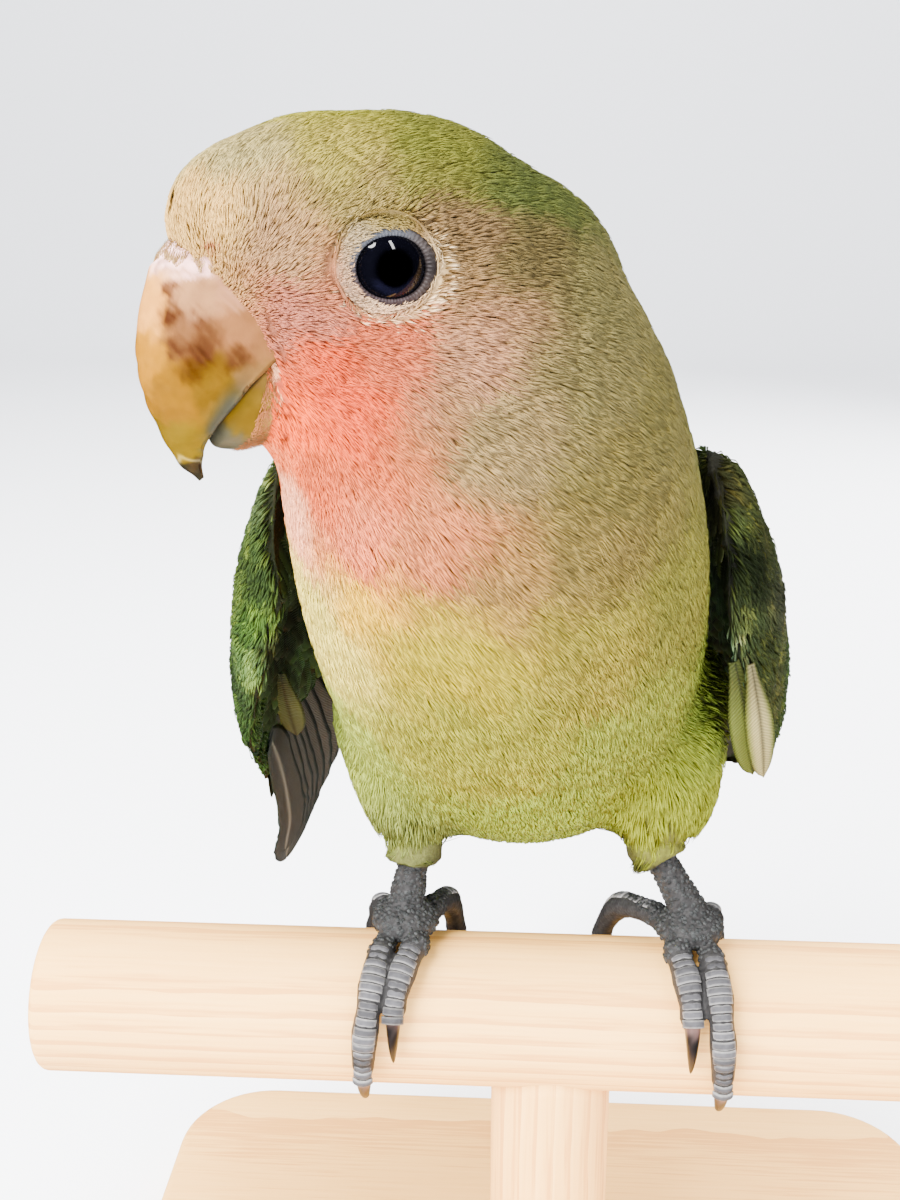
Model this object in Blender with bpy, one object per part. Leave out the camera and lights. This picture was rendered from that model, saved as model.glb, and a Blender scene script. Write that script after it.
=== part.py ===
# A life-size model of a young peach-faced lovebird that grips a pine perch on a display stand.
# The bird faces -Y and turns its head to its own right. The origin is the centre of the base's
# underside. Every length below is in millimetres; MM turns it into metres.

import math

import bmesh
import bpy
from mathutils import Matrix, Vector

MM = 0.001
# The space left between neighbouring solids, and the sizes below which a cut's leftovers are closed up
GAP = 0.3
WELD = 0.02
SLIVER = 0.004

# The stand
BASE_WIDTH = 94.0
BASE_DEPTH = 84.0
BASE_HEIGHT = 8.0
BASE_CORNER = 11.0
BASE_CORNER_STEPS = 5
BASE_EDGE = 1.2
BASE_EDGE_STEPS = 3
ROD_RADIUS = 6.0
PERCH_RADIUS = 7.5
PERCH_LENGTH = 102.0
PERCH_HEIGHT = 49.0
PERCH_EDGE = 0.8
ROUND_SIDES = 36

# The body, in millimetres from the middle of the perch
BODY_TILT = math.radians(38.0)
BODY_VOXEL = 0.95
BODY_SMOOTHING = 16
BODY_TRIANGLES = 1900
BODY_RINGS = 20
SPINE = (
    # middle of the body there, and its half width, half length and half depth
    ((-10.0, -1.2, 69.0), (14.8, 13.8, 13.4)),
    ((-7.8, -1.6, 60.5), (18.0, 16.4, 15.2)),
    ((-5.9, -0.6, 49.0), (19.4, 18.4, 17.4)),
    ((-4.4, 6.0, 36.6), (19.0, 18.6, 18.2)),
    ((-3.4, 15.0, 27.8), (17.0, 15.4, 15.8)),
    ((-2.8, 26.0, 21.2), (12.6, 12.4, 11.2)),
    ((-2.5, 37.0, 14.4), (8.8, 9.0, 6.8)),
    ((-2.5, 45.0, 9.4), (6.8, 6.0, 4.2)),
)
SPINE_STEPS = 4

# The head, in its own frame: forward, left and up from the middle of the skull
HEAD_CENTRE = Vector((-19.0, -5.0, 74.0))
HEAD_TURN = math.radians(60.0)
HEAD_FORMS = (
    ((-4.0, 0.0, 0.0), (16.4, 12.2, 12.4)),
    ((-12.0, 0.0, -4.4), (14.8, 13.4, 13.0)),
    ((5.0, 0.0, 3.8), (10.0, 8.4, 6.9)),
    ((1.4, 0.0, 3.2), (10.8, 10.2, 9.0)),
    ((3.0, 0.0, -1.5), (9.8, 7.6, 6.8)),
    ((2.0, 0.0, -10.0), (8.2, 7.2, 7.6)),
    ((-1.4, 4.8, -6.0), (9.6, 7.0, 8.6)),
    ((-1.4, -4.8, -6.0), (9.6, 7.0, 8.6)),
)
EYE_CENTRE = Vector((0.1, 8.6, 0.1))
EYE_RADIUS = 3.7
EYE_RINGS = 8

# A point and a direction for each plane that parts the body
NECK_CUT = (Vector((-14.0, -5.0, 60.5)), Vector((-0.32, -0.22, 0.92)))
BREAST_CUT = (Vector((-7.0, -2.0, 52.0)), Vector((-0.10, -0.35, 0.93)))
TAIL_CUT = (Vector((-2.5, 43.0, 10.5)), Vector((0.0, 0.80, -0.60)))

FINISHES = {
    # linear colour and roughness
    "green_plumage": ((0.36, 0.42, 0.08), 0.8),
    "pink_face": ((0.75, 0.32, 0.22), 0.8),
    "olive_neck": ((0.42, 0.37, 0.16), 0.8),
    "dark_green_wing": ((0.04, 0.10, 0.03), 0.6),
    "grey_flight_feathers": ((0.08, 0.08, 0.07), 0.6),
    "bill_horn": ((0.75, 0.42, 0.16), 0.3),
    "dark_eye": ((0.01, 0.01, 0.02), 0.05),
    "grey_scaly_skin": ((0.12, 0.13, 0.14), 0.6),
    "claw_horn": ((0.05, 0.04, 0.04), 0.4),
    "pine": ((0.78, 0.57, 0.36), 0.6),
}


def clear_scene():
    for item in list(bpy.data.objects):
        bpy.data.objects.remove(item, do_unlink=True)


def finish_of(name):
    colour, roughness = FINISHES[name]
    made = bpy.data.materials.new(name)
    made.use_nodes = True
    shader = made.node_tree.nodes["Principled BSDF"]
    shader.inputs["Base Color"].default_value = (*colour, 1.0)
    shader.inputs["Roughness"].default_value = roughness
    made.diffuse_color = (*colour, 1.0)
    return made


def object_from(name, mesh, finish=None):
    made = bpy.data.objects.new(name, mesh)
    bpy.context.scene.collection.objects.link(made)
    if finish:
        mesh.materials.clear()
        mesh.materials.append(finish)
    return made


def on_perch(point):
    # A point given from the middle of the perch, in the model's own frame.
    return Vector((point[0], point[1], point[2] + PERCH_HEIGHT))


def head_point(point):
    # A point of the head's own frame, from the middle of the perch.
    forward = Vector((-math.sin(HEAD_TURN), -math.cos(HEAD_TURN), 0.0))
    left = Vector((math.cos(HEAD_TURN), -math.sin(HEAD_TURN), 0.0))
    up = Vector((0.0, 0.0, 1.0))
    return HEAD_CENTRE + forward * point[0] + left * point[1] + up * point[2]


def mirrored(point):
    return Vector((point[0], -point[1], point[2]))


def add_ellipsoid(shape, centre, radii, rings, turn=Matrix.Identity(3)):
    placing = Matrix.Translation(centre) @ turn.to_4x4() @ Matrix.Diagonal((*radii, 1.0))
    bmesh.ops.create_uvsphere(shape, u_segments=rings * 2, v_segments=rings, radius=1.0, matrix=placing)


def round_ring(centre, side, up, radius, sides):
    # A circle of points about the centre, from the side direction round to the up direction.
    angles = [math.tau * step / sides for step in range(sides)]
    return [centre + (side * math.cos(angle) + up * math.sin(angle)) * radius for angle in angles]


def add_loft(shape, rings):
    # Rings of equal length, joined one to the next, with both ends closed by a fan.
    rows = [[shape.verts.new(point) for point in ring] for ring in rings]
    count = len(rows[0])
    for near, far in zip(rows, rows[1:]):
        for index in range(count):
            after = (index + 1) % count
            shape.faces.new((near[index], near[after], far[after], far[index]))
    for row, outward in ((rows[0], False), (rows[-1], True)):
        middle = shape.verts.new(sum((vert.co for vert in row), Vector()) / count)
        for index in range(count):
            pair = (row[index], row[(index + 1) % count])
            shape.faces.new((*pair, middle) if outward else (*reversed(pair), middle))
    bmesh.ops.recalc_face_normals(shape, faces=shape.faces)


def mesh_from(name, shape):
    # Millimetres from the middle of the perch become metres in the model's frame.
    for vert in shape.verts:
        vert.co = on_perch(vert.co) * MM
    mesh = bpy.data.meshes.new(name)
    shape.to_mesh(mesh)
    shape.free()
    return mesh


def applied(item):
    # Bakes an object's modifiers into its mesh.
    bpy.context.view_layer.update()
    seen = item.evaluated_get(bpy.context.evaluated_depsgraph_get())
    mesh = bpy.data.meshes.new_from_object(seen)
    finishes = [slot.material for slot in item.material_slots]
    item.modifiers.clear()
    item.data = mesh
    mesh.materials.clear()
    for finish in finishes:
        mesh.materials.append(finish)
    return item


def smooth_body(item, voxel, smoothing, triangles):
    # Fuses overlapping forms into one closed skin, then thins its triangles.
    fuse = item.modifiers.new("fuse", "REMESH")
    fuse.mode = "VOXEL"
    fuse.voxel_size = voxel * MM
    relax = item.modifiers.new("relax", "SMOOTH")
    relax.iterations = smoothing
    relax.factor = 0.5
    applied(item)
    faces = sum(len(face.vertices) - 2 for face in item.data.polygons)
    thin = item.modifiers.new("thin", "DECIMATE")
    thin.ratio = min(1.0, triangles / faces)
    applied(item)
    return item


def largest_piece_only(item):
    shape = bmesh.new()
    shape.from_mesh(item.data)
    left = set(shape.verts)
    pieces = []
    while left:
        start = left.pop()
        piece = {start}
        edge_of_search = [start]
        while edge_of_search:
            vert = edge_of_search.pop()
            for edge in vert.link_edges:
                other = edge.other_vert(vert)
                if other in left:
                    left.remove(other)
                    piece.add(other)
                    edge_of_search.append(other)
        pieces.append(piece)
    pieces.sort(key=len, reverse=True)
    spare = [vert for piece in pieces[1:] for vert in piece]
    bmesh.ops.delete(shape, geom=spare, context="VERTS")
    shape.to_mesh(item.data)
    shape.free()


def tidy_mesh(item):
    # Slivers left by a cut are closed up, and every face is a triangle.
    shape = bmesh.new()
    shape.from_mesh(item.data)
    bmesh.ops.remove_doubles(shape, verts=shape.verts, dist=WELD * MM)
    bmesh.ops.triangulate(shape, faces=shape.faces)
    bmesh.ops.dissolve_degenerate(shape, dist=SLIVER * MM, edges=shape.edges)
    bmesh.ops.triangulate(shape, faces=shape.faces)
    bmesh.ops.recalc_face_normals(shape, faces=shape.faces)
    shape.to_mesh(item.data)
    shape.free()


def carve(item, neighbour, gap=GAP):
    # Takes away what the neighbour fills, with a gap all round it.
    swollen = neighbour.data.copy()
    normals = [vert.normal.copy() for vert in swollen.vertices]
    for vert, normal in zip(swollen.vertices, normals):
        vert.co += normal * gap * MM
    cutter = object_from("cutter", swollen)
    cutter.hide_render = True
    cutter.display_type = "WIRE"
    cut = item.modifiers.new("cut", "BOOLEAN")
    cut.operation = "DIFFERENCE"
    cut.solver = "EXACT"
    cut.object = cutter
    applied(item)
    bpy.data.objects.remove(cutter, do_unlink=True)
    largest_piece_only(item)
    tidy_mesh(item)


def part_at(source, name, finish, planes):
    # A copy of the source kept on the far side of each plane: (point, normal, gap).
    shape = bmesh.new()
    shape.from_mesh(source.data)
    for point, normal, gap in planes:
        normal = normal.normalized()
        where = (on_perch(point) + normal * gap) * MM
        whole = shape.verts[:] + shape.edges[:] + shape.faces[:]
        cut = bmesh.ops.bisect_plane(
            shape, geom=whole, plane_co=where, plane_no=normal, clear_inner=True)
        rim = [piece for piece in cut["geom_cut"] if isinstance(piece, bmesh.types.BMEdge)]
        bmesh.ops.holes_fill(shape, edges=rim, sides=0)
    bmesh.ops.triangulate(shape, faces=shape.faces)
    bmesh.ops.recalc_face_normals(shape, faces=shape.faces)
    mesh = bpy.data.meshes.new(name)
    shape.to_mesh(mesh)
    shape.free()
    made = object_from(name, mesh, finish)
    largest_piece_only(made)
    tidy_mesh(made)
    return made


def body_turn():
    return Matrix.Rotation(-BODY_TILT, 3, "X")


def between(stations, steps):
    # Walks from station to station in even steps, easing each number on a smooth curve.
    flat = [[*centre, *radii] for centre, radii in stations]
    walked = []
    for index in range(len(flat) - 1):
        before = flat[max(index - 1, 0)]
        start = flat[index]
        end = flat[index + 1]
        after = flat[min(index + 2, len(flat) - 1)]
        for step in range(steps):
            part = step / steps
            row = []
            for a, b, c, d in zip(before, start, end, after):
                slope_in = (c - a) / 2.0
                slope_out = (d - b) / 2.0
                row.append(b * (1.0 - 3.0 * part ** 2 + 2.0 * part ** 3)
                           + c * (3.0 * part ** 2 - 2.0 * part ** 3)
                           + slope_in * (part - 2.0 * part ** 2 + part ** 3)
                           + slope_out * (part ** 3 - part ** 2))
            walked.append(row)
    walked.append(flat[-1])
    return [(Vector(row[:3]), tuple(row[3:])) for row in walked]


def make_whole_body():
    shape = bmesh.new()
    for centre, radii in between(SPINE, SPINE_STEPS):
        add_ellipsoid(shape, centre, radii, BODY_RINGS, body_turn())
    turn = Matrix.Rotation(-math.pi / 2.0 - HEAD_TURN, 3, "Z")
    for centre, radii in HEAD_FORMS:
        add_ellipsoid(shape, head_point(centre), radii, BODY_RINGS, turn)
    body = object_from("whole_body", mesh_from("whole_body", shape))
    return smooth_body(body, BODY_VOXEL, BODY_SMOOTHING, BODY_TRIANGLES)


UPPER_BILL = (
    # ridge forward, ridge up, edge forward, edge up, half width
    (9.5, 3.2, 3.0, -5.5, 5.4),
    (14.6, 2.2, 6.6, -6.4, 5.7),
    (16.6, -1.8, 9.2, -8.4, 5.4),
    (17.5, -6.0, 10.9, -10.4, 4.8),
    (17.2, -9.8, 12.3, -12.3, 3.8),
    (16.1, -13.0, 12.9, -14.0, 2.5),
    (14.7, -15.8, 12.9, -15.6, 1.3),
    (13.0, -17.5, 12.6, -17.1, 0.4),
)
LOWER_BILL = (
    (4.0, -7.0, 3.0, -13.5, 4.6),
    (7.4, -7.6, 6.6, -14.6, 4.8),
    (9.6, -9.9, 9.4, -15.2, 4.1),
    (11.2, -12.2, 11.4, -14.8, 2.7),
    (11.9, -13.6, 12.0, -14.0, 0.9),
)
BILL_SIDES = 7
BILL_ARCH = 1.6
BILL_FULLNESS = 0.85


def bill_ring(ridge_forward, ridge_up, edge_forward, edge_up, half_width):
    # One arch of the bill: round over the ridge, widest at the cutting edge, flat below.
    points = []
    for index in range(2 * BILL_SIDES + 1):
        across = index / BILL_SIDES - 1.0
        down = abs(across) ** BILL_ARCH
        width = half_width * math.sin(abs(across) * math.pi / 2.0) ** BILL_FULLNESS
        side = math.copysign(width, across)
        forward = ridge_forward + (edge_forward - ridge_forward) * down
        up = ridge_up + (edge_up - ridge_up) * down
        points.append(head_point((forward, side, up)))
    return points


def lower_ring(edge_forward, edge_up, keel_forward, keel_up, half_width):
    # The lower bill is a scoop: flat above, round over the keel.
    return bill_ring(keel_forward, keel_up, edge_forward, edge_up, half_width)


def make_bill(name, rings, finish):
    shape = bmesh.new()
    add_loft(shape, rings)
    return object_from(name, mesh_from(name, shape), finish)


def make_eye(name, centre, finish):
    shape = bmesh.new()
    add_ellipsoid(shape, head_point(centre), (EYE_RADIUS,) * 3, EYE_RINGS)
    return object_from(name, mesh_from(name, shape), finish)


# The wings, one list of stations each: centre, height direction, half height, thickness, swell
LEFT_WING = (
    ((11.5, -1.0, 54.0), (0.0, 0.45, 1.0), 3.0, 2.0, 0.0),
    ((14.3, 1.0, 49.4), (-0.1, 0.50, 1.0), 8.5, 5.5, 1.2),
    ((14.4, 5.0, 44.2), (-0.25, 0.60, 1.0), 13.8, 6.5, 3.2),
    ((13.5, 11.0, 39.4), (-0.45, 0.70, 1.0), 17.5, 6.2, 5.2),
    ((11.3, 20.0, 33.6), (-0.72, 0.75, 1.0), 18.0, 5.2, 6.4),
    ((8.4, 32.0, 25.8), (-0.90, 0.75, 1.0), 15.5, 4.4, 5.8),
    ((6.6, 45.0, 16.8), (-0.90, 0.70, 1.0), 11.5, 3.6, 4.0),
    ((4.6, 59.0, 7.4), (-0.80, 0.70, 1.0), 7.5, 2.8, 1.8),
    ((3.2, 72.0, -1.5), (-0.60, 0.70, 1.0), 4.6, 2.2, 0.5),
    ((2.4, 79.5, -6.5), (-0.50, 0.70, 1.0), 1.5, 1.0, 0.0),
)
RIGHT_WING = (
    ((-22.0, -1.0, 54.0), (0.0, 0.35, 1.0), 3.0, 2.0, 0.0),
    ((-24.8, 1.0, 50.0), (0.1, 0.50, 1.0), 8.5, 5.5, 1.2),
    ((-25.2, 5.0, 44.8), (0.25, 0.60, 1.0), 13.8, 6.0, 2.8),
    ((-24.2, 11.0, 38.6), (0.45, 0.70, 1.0), 16.5, 5.8, 4.8),
    ((-23.6, 20.0, 30.4), (0.65, 0.70, 1.0), 15.5, 4.8, 5.2),
    ((-26.2, 30.0, 18.8), (0.70, 0.60, 1.0), 12.0, 4.0, 3.6),
    ((-29.6, 41.0, 5.4), (0.65, 0.50, 0.8), 8.5, 3.0, 1.4),
    ((-33.6, 51.0, -5.6), (0.65, 0.40, 0.7), 5.0, 2.2, 0.4),
    ((-37.0, 60.0, -15.5), (0.65, 0.40, 0.7), 1.6, 1.0, 0.0),
)
# The plane between each wing's covered part and its flight feathers
LEFT_WING_CUT = (Vector((9.0, 40.0, 18.0)), Vector((0.0, 0.82, -0.57)))
RIGHT_WING_CUT = (Vector((-28.0, 27.0, 21.5)), Vector((-0.1, 0.70, -0.70)))
WING_SIDES = 9


def wing_rings(stations, outward):
    rings = []
    for centre, height_way, half_height, thickness, swell in stations:
        up = Vector(height_way).normalized()
        out = Vector(outward)
        out = (out - up * out.dot(up)).normalized()
        ring = []
        for index in range(2 * WING_SIDES):
            angle = math.pi * index / WING_SIDES
            along = math.cos(angle)
            bow = swell * (1.0 - along * along)
            depth = thickness * 0.5 * math.sin(angle)
            ring.append(Vector(centre) + up * half_height * along + out * (bow + depth))
        rings.append(ring)
    return rings


def make_wing(name, stations, outward):
    shape = bmesh.new()
    add_loft(shape, wing_rings(stations, outward))
    return object_from(name, mesh_from(name, shape))


TAIL = (
    # middle, half width and half depth
    ((-2.5, 36.0, 14.6), 7.5, 3.4),
    ((-2.5, 45.0, 9.2), 7.4, 2.8),
    ((-2.5, 55.0, 3.0), 7.6, 2.0),
    ((-2.5, 66.0, -4.2), 8.0, 1.5),
    ((-2.5, 77.0, -11.2), 7.2, 1.1),
    ((-2.5, 83.5, -15.4), 4.0, 0.8),
    ((-2.5, 86.0, -17.0), 1.2, 0.5),
)
TAIL_SIDES = 16
TAIL_CROWN = 0.10


def make_tail(finish):
    # The fan of closed feathers, a little crowned over its middle.
    shape = bmesh.new()
    up = Vector((0.0, math.sin(BODY_TILT), math.cos(BODY_TILT)))
    rings = []
    for centre, half_width, half_depth in TAIL:
        ring = []
        for index in range(TAIL_SIDES):
            angle = math.tau * index / TAIL_SIDES
            across = Vector((half_width * math.cos(angle), 0.0, 0.0))
            rise = half_depth * math.sin(angle) + TAIL_CROWN * half_width * math.sin(angle) ** 2
            ring.append(Vector(centre) + across + up * rise)
        rings.append(ring)
    add_loft(shape, rings)
    return object_from("tail", mesh_from("tail", shape), finish)


# The feet and legs
PALM = (3.4, 3.2, 1.9)
PALM_BACK = 0.2
ANKLE_BACK = 1.0
ANKLE_RISE = 1.4
SHANK_TOP = (0.0, 0.6, 1.6)
SHANK_RADII = (1.7, 1.9, 1.55, 1.6, 1.6)
FOOT_VOXEL = 0.4
FOOT_SMOOTHING = 4
THIGH_STEPS = 3
THIGH_VOXEL = 0.7
THIGH_SMOOTHING = 6
LIMB_RINGS = 12
LIMB_TRIANGLES = 230
TOE_SIDES = 8
TOE_STEPS = 9
TOE_SWELL = 0.10
TOE_END = 0.6
CLAW_SIDES = 6
CLAW_STEPS = 5
CLAW_LENGTH = 5.0
CLAW_RADIUS = 0.85
CLAW_TIP_RADIUS = 0.10
CLAW_LIFT = 1.15
CLAW_DROP = 0.35
CLAW_ARCH = 0.315
CLAW_CLEARANCE = 0.12
CLAW_SETBACK = math.radians(4.6)
FEET = {
    # across of the palm, and the way to the bird's middle
    "left": (13.2, -1.0),
    "right": (-14.6, 1.0),
}
THIGHS = {
    # upper, middle and lower forms: centre and half sizes
    "left": (((9.6, 9.0, 29.0), (8.6, 10.0, 10.0)), ((10.2, 4.5, 22.6), (6.2, 7.0, 7.0)),
             ((9.2, 1.6, 18.2), (3.3, 3.4, 3.8))),
    "right": (((-15.2, 9.0, 29.0), (8.2, 10.0, 10.0)), ((-14.6, 4.5, 22.6), (5.8, 7.0, 7.0)),
              ((-13.6, 1.6, 17.6), (3.2, 3.4, 3.8))),
}


def tube_rings(centres, radii, sides):
    # Rings square to the path from point to point.
    rings = []
    for index, centre in enumerate(centres):
        before = centres[max(index - 1, 0)]
        after = centres[min(index + 1, len(centres) - 1)]
        along = (after - before).normalized()
        side = along.cross(Vector((0.31, 0.11, 0.94))).normalized()
        if abs(along.x) < 0.6:
            side = (Vector((1.0, 0.0, 0.0)) - along * along.x).normalized()
        rings.append(round_ring(centre, side, side.cross(along), radii[index], sides))
    return rings


def round_perch(across, angle, lift):
    # A point beside the perch: the angle runs from its top towards the front.
    reach = PERCH_RADIUS + lift
    return Vector((across, -math.sin(angle) * reach, math.cos(angle) * reach))


def toe_path(start_across, end_across, first, last, root_radius, tip_radius, joints, arch):
    # Winds round the perch from the first angle to the last, a little thicker at each joint.
    centres = []
    radii = []
    for step in range(TOE_STEPS):
        part = step / (TOE_STEPS - 1)
        swell = 1.0 + TOE_SWELL * math.cos(math.tau * joints * part)
        radius = (root_radius + (tip_radius - root_radius) * part) * swell
        if step in (0, TOE_STEPS - 1):
            radius *= TOE_END
        angle = first + (last - first) * part
        across = start_across + (end_across - start_across) * math.sin(part * math.pi / 2.0)
        lift = arch * math.sin(part * math.pi)
        centres.append(round_perch(across, angle, GAP + radius + lift))
        radii.append(radius)
    return centres, radii


TOES = {
    # inward at root and at each tip, first and last angle, root and tip radius, joints, arch
    "inner_front": (1.75, {"left": 0.2, "right": -0.5}, 12.0, 66.0, 1.45, 1.20, 2, 0.3),
    "outer_front": (-1.65, {"left": -2.8, "right": -3.4}, 12.0, 108.0, 1.45, 1.15, 3, 0.3),
    "inner_back": (1.8, {"left": 8.2, "right": 4.6}, -12.0, -76.0, 1.40, 1.10, 2, 1.6),
    "outer_back": (-1.8, {"left": -3.8, "right": -4.2}, -12.0, -100.0, 1.45, 1.10, 3, 0.6),
}


def claw_path(across, angle, way):
    # Goes on round the perch from the toe's tip and thins to a point that nearly touches the wood.
    centres = []
    radii = []
    for step in range(CLAW_STEPS):
        part = step / (CLAW_STEPS - 1)
        turn = angle + way * part * CLAW_LENGTH / (PERCH_RADIUS + 1.0)
        lift = GAP + CLAW_LIFT - CLAW_DROP * part + CLAW_ARCH * math.sin(part * math.pi)
        lowest = GAP + CLAW_RADIUS * (1.0 - part) + CLAW_CLEARANCE
        centres.append(round_perch(across, turn, max(lift, lowest)))
        radii.append(CLAW_RADIUS * (1.0 - part) ** 0.8 + CLAW_TIP_RADIUS)
    return centres, radii


def make_tube(name, centres, radii, finish, sides):
    shape = bmesh.new()
    add_loft(shape, tube_rings(centres, radii, sides))
    return object_from(name, mesh_from(name, shape), finish)


def make_foot(side, finish, claw_finish):
    centre_across, inward = FEET[side]
    top = Vector(THIGHS[side][2][0])
    shape = bmesh.new()
    palm_height = PERCH_RADIUS + GAP + PALM[2]
    palm = Vector((centre_across, PALM_BACK, palm_height))
    ankle = Vector((centre_across, ANKLE_BACK, palm_height + ANKLE_RISE))
    add_ellipsoid(shape, palm, PALM, LIMB_RINGS)
    centres = [palm, ankle, ankle.lerp(top, 0.5), top, top + Vector(SHANK_TOP)]
    add_loft(shape, tube_rings(centres, SHANK_RADII, TOE_SIDES))
    foot = object_from("foot_" + side, mesh_from("foot_" + side, shape), finish)
    smooth_body(foot, FOOT_VOXEL, FOOT_SMOOTHING, LIMB_TRIANGLES)
    toes = []
    for name, (root, tip, first, last, big, small, joints, arch) in TOES.items():
        start = centre_across + inward * root
        end = centre_across + inward * tip[side]
        first = math.radians(first)
        last = math.radians(last)
        centres, radii = toe_path(start, end, first, last, big, small, joints, arch)
        toe = make_tube(f"toe_{side}_{name}", centres, radii, finish, TOE_SIDES)
        carve(toe, foot)
        for other in toes:
            carve(toe, other)
        toes.append(toe)
        way = math.copysign(1.0, last)
        centres, radii = claw_path(end, last - way * CLAW_SETBACK, way)
        claw = make_tube(f"claw_{side}_{name}", centres, radii, claw_finish, CLAW_SIDES)
        carve(claw, toe)
    return foot


def make_thigh(side, finish):
    shape = bmesh.new()
    for centre, radii in between(THIGHS[side], THIGH_STEPS):
        add_ellipsoid(shape, centre, radii, LIMB_RINGS, body_turn())
    thigh = object_from("thigh_" + side, mesh_from("thigh_" + side, shape), finish)
    return smooth_body(thigh, THIGH_VOXEL, THIGH_SMOOTHING, LIMB_TRIANGLES)


def make_base(finish):
    # A flat board with rounded corners and softened edges.
    shape = bmesh.new()
    bmesh.ops.create_grid(shape, x_segments=1, y_segments=1, size=0.5)
    for vert in shape.verts:
        vert.co = (vert.co.x * BASE_WIDTH, vert.co.y * BASE_DEPTH, -PERCH_HEIGHT)
    bmesh.ops.bevel(shape, geom=shape.verts[:], offset=BASE_CORNER, segments=BASE_CORNER_STEPS,
                    profile=0.5, affect="VERTICES")
    top = bmesh.ops.extrude_face_region(shape, geom=shape.faces[:])
    moved = [piece for piece in top["geom"] if isinstance(piece, bmesh.types.BMVert)]
    bmesh.ops.translate(shape, verts=moved, vec=(0.0, 0.0, BASE_HEIGHT))
    rim = [edge for edge in shape.edges if all(vert.co.z > -PERCH_HEIGHT + BASE_EDGE for vert in edge.verts)]
    bmesh.ops.bevel(shape, geom=rim, offset=BASE_EDGE, segments=BASE_EDGE_STEPS, profile=0.5, affect="EDGES")
    bmesh.ops.recalc_face_normals(shape, faces=shape.faces)
    bmesh.ops.triangulate(shape, faces=shape.faces)
    object_from("stand_base", mesh_from("stand_base", shape), finish)


def make_perch(finish):
    # A dowel along X with a small bevel at each end.
    shape = bmesh.new()
    end = PERCH_LENGTH / 2.0
    stations = (
        (-end, PERCH_RADIUS - PERCH_EDGE),
        (-end + PERCH_EDGE, PERCH_RADIUS),
        (end - PERCH_EDGE, PERCH_RADIUS),
        (end, PERCH_RADIUS - PERCH_EDGE),
    )
    across = Vector((0.0, 1.0, 0.0))
    up = Vector((0.0, 0.0, 1.0))
    rings = [round_ring(Vector((place, 0.0, 0.0)), across, up, radius, ROUND_SIDES)
             for place, radius in stations]
    add_loft(shape, rings)
    return object_from("stand_perch", mesh_from("stand_perch", shape), finish)


def make_rod(finish, perch):
    # An upright dowel from the base to the underside of the perch.
    shape = bmesh.new()
    across = Vector((1.0, 0.0, 0.0))
    back = Vector((0.0, 1.0, 0.0))
    rings = [round_ring(Vector((0.0, 0.0, height)), across, back, ROD_RADIUS, ROUND_SIDES)
             for height in (BASE_HEIGHT - PERCH_HEIGHT + GAP, 0.0)]
    add_loft(shape, rings)
    rod = object_from("stand_rod", mesh_from("stand_rod", shape), finish)
    carve(rod, perch)


def main():
    clear_scene()
    green = finish_of("green_plumage")
    pink = finish_of("pink_face")
    olive = finish_of("olive_neck")
    dark_green = finish_of("dark_green_wing")
    grey_feather = finish_of("grey_flight_feathers")
    horn = finish_of("bill_horn")
    dark_eye = finish_of("dark_eye")
    grey_skin = finish_of("grey_scaly_skin")
    claw_horn = finish_of("claw_horn")
    pine = finish_of("pine")

    make_base(pine)
    make_rod(pine, make_perch(pine))
    whole = make_whole_body()
    head = part_at(whole, "head", pink, [(NECK_CUT[0], NECK_CUT[1], GAP / 2)])
    part_at(whole, "neck", olive, [
        (NECK_CUT[0], -NECK_CUT[1], GAP / 2), (BREAST_CUT[0], BREAST_CUT[1], GAP / 2)])
    trunk = part_at(whole, "trunk", green, [
        (BREAST_CUT[0], -BREAST_CUT[1], GAP / 2), (TAIL_CUT[0], -TAIL_CUT[1], GAP / 2)])
    tail = make_tail(green)
    carve(tail, trunk)

    upper = make_bill("bill_upper", [bill_ring(*row) for row in UPPER_BILL], horn)
    carve(upper, head)
    lower = make_bill("bill_lower", [lower_ring(*row) for row in LOWER_BILL], horn)
    carve(lower, head)
    carve(lower, upper)
    for side, centre in (("left", EYE_CENTRE), ("right", mirrored(EYE_CENTRE))):
        eye = make_eye("eye_" + side, centre, dark_eye)
        carve(head, eye)

    thighs = []
    for side in ("left", "right"):
        thigh = make_thigh(side, green)
        carve(thigh, trunk)
        foot = make_foot(side, grey_skin, claw_horn)
        carve(foot, trunk)
        carve(thigh, foot)
        thighs.append(thigh)

    for side, stations, outward, cut in (
            ("left", LEFT_WING, (1.0, 0.0, 0.0), LEFT_WING_CUT),
            ("right", RIGHT_WING, (-1.0, -0.1, 0.0), RIGHT_WING_CUT)):
        wing = make_wing("whole_wing", stations, outward)
        carve(wing, whole)
        carve(wing, tail)
        for thigh in thighs:
            carve(wing, thigh)
        part_at(wing, "wing_" + side, dark_green, [(cut[0], -cut[1], GAP / 2)])
        part_at(wing, "flight_feathers_" + side, grey_feather, [(cut[0], cut[1], GAP / 2)])
        bpy.data.objects.remove(wing, do_unlink=True)
    bpy.data.objects.remove(whole, do_unlink=True)
    for item in bpy.data.objects:
        if item.type == "MESH":
            item.data.shade_smooth()


main()
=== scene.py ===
# A young peach-faced lovebird gripping a pine perch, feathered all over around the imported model.
import math

import bpy
import numpy as np
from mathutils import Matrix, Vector, kdtree
from mathutils.bvhtree import BVHTree


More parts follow.
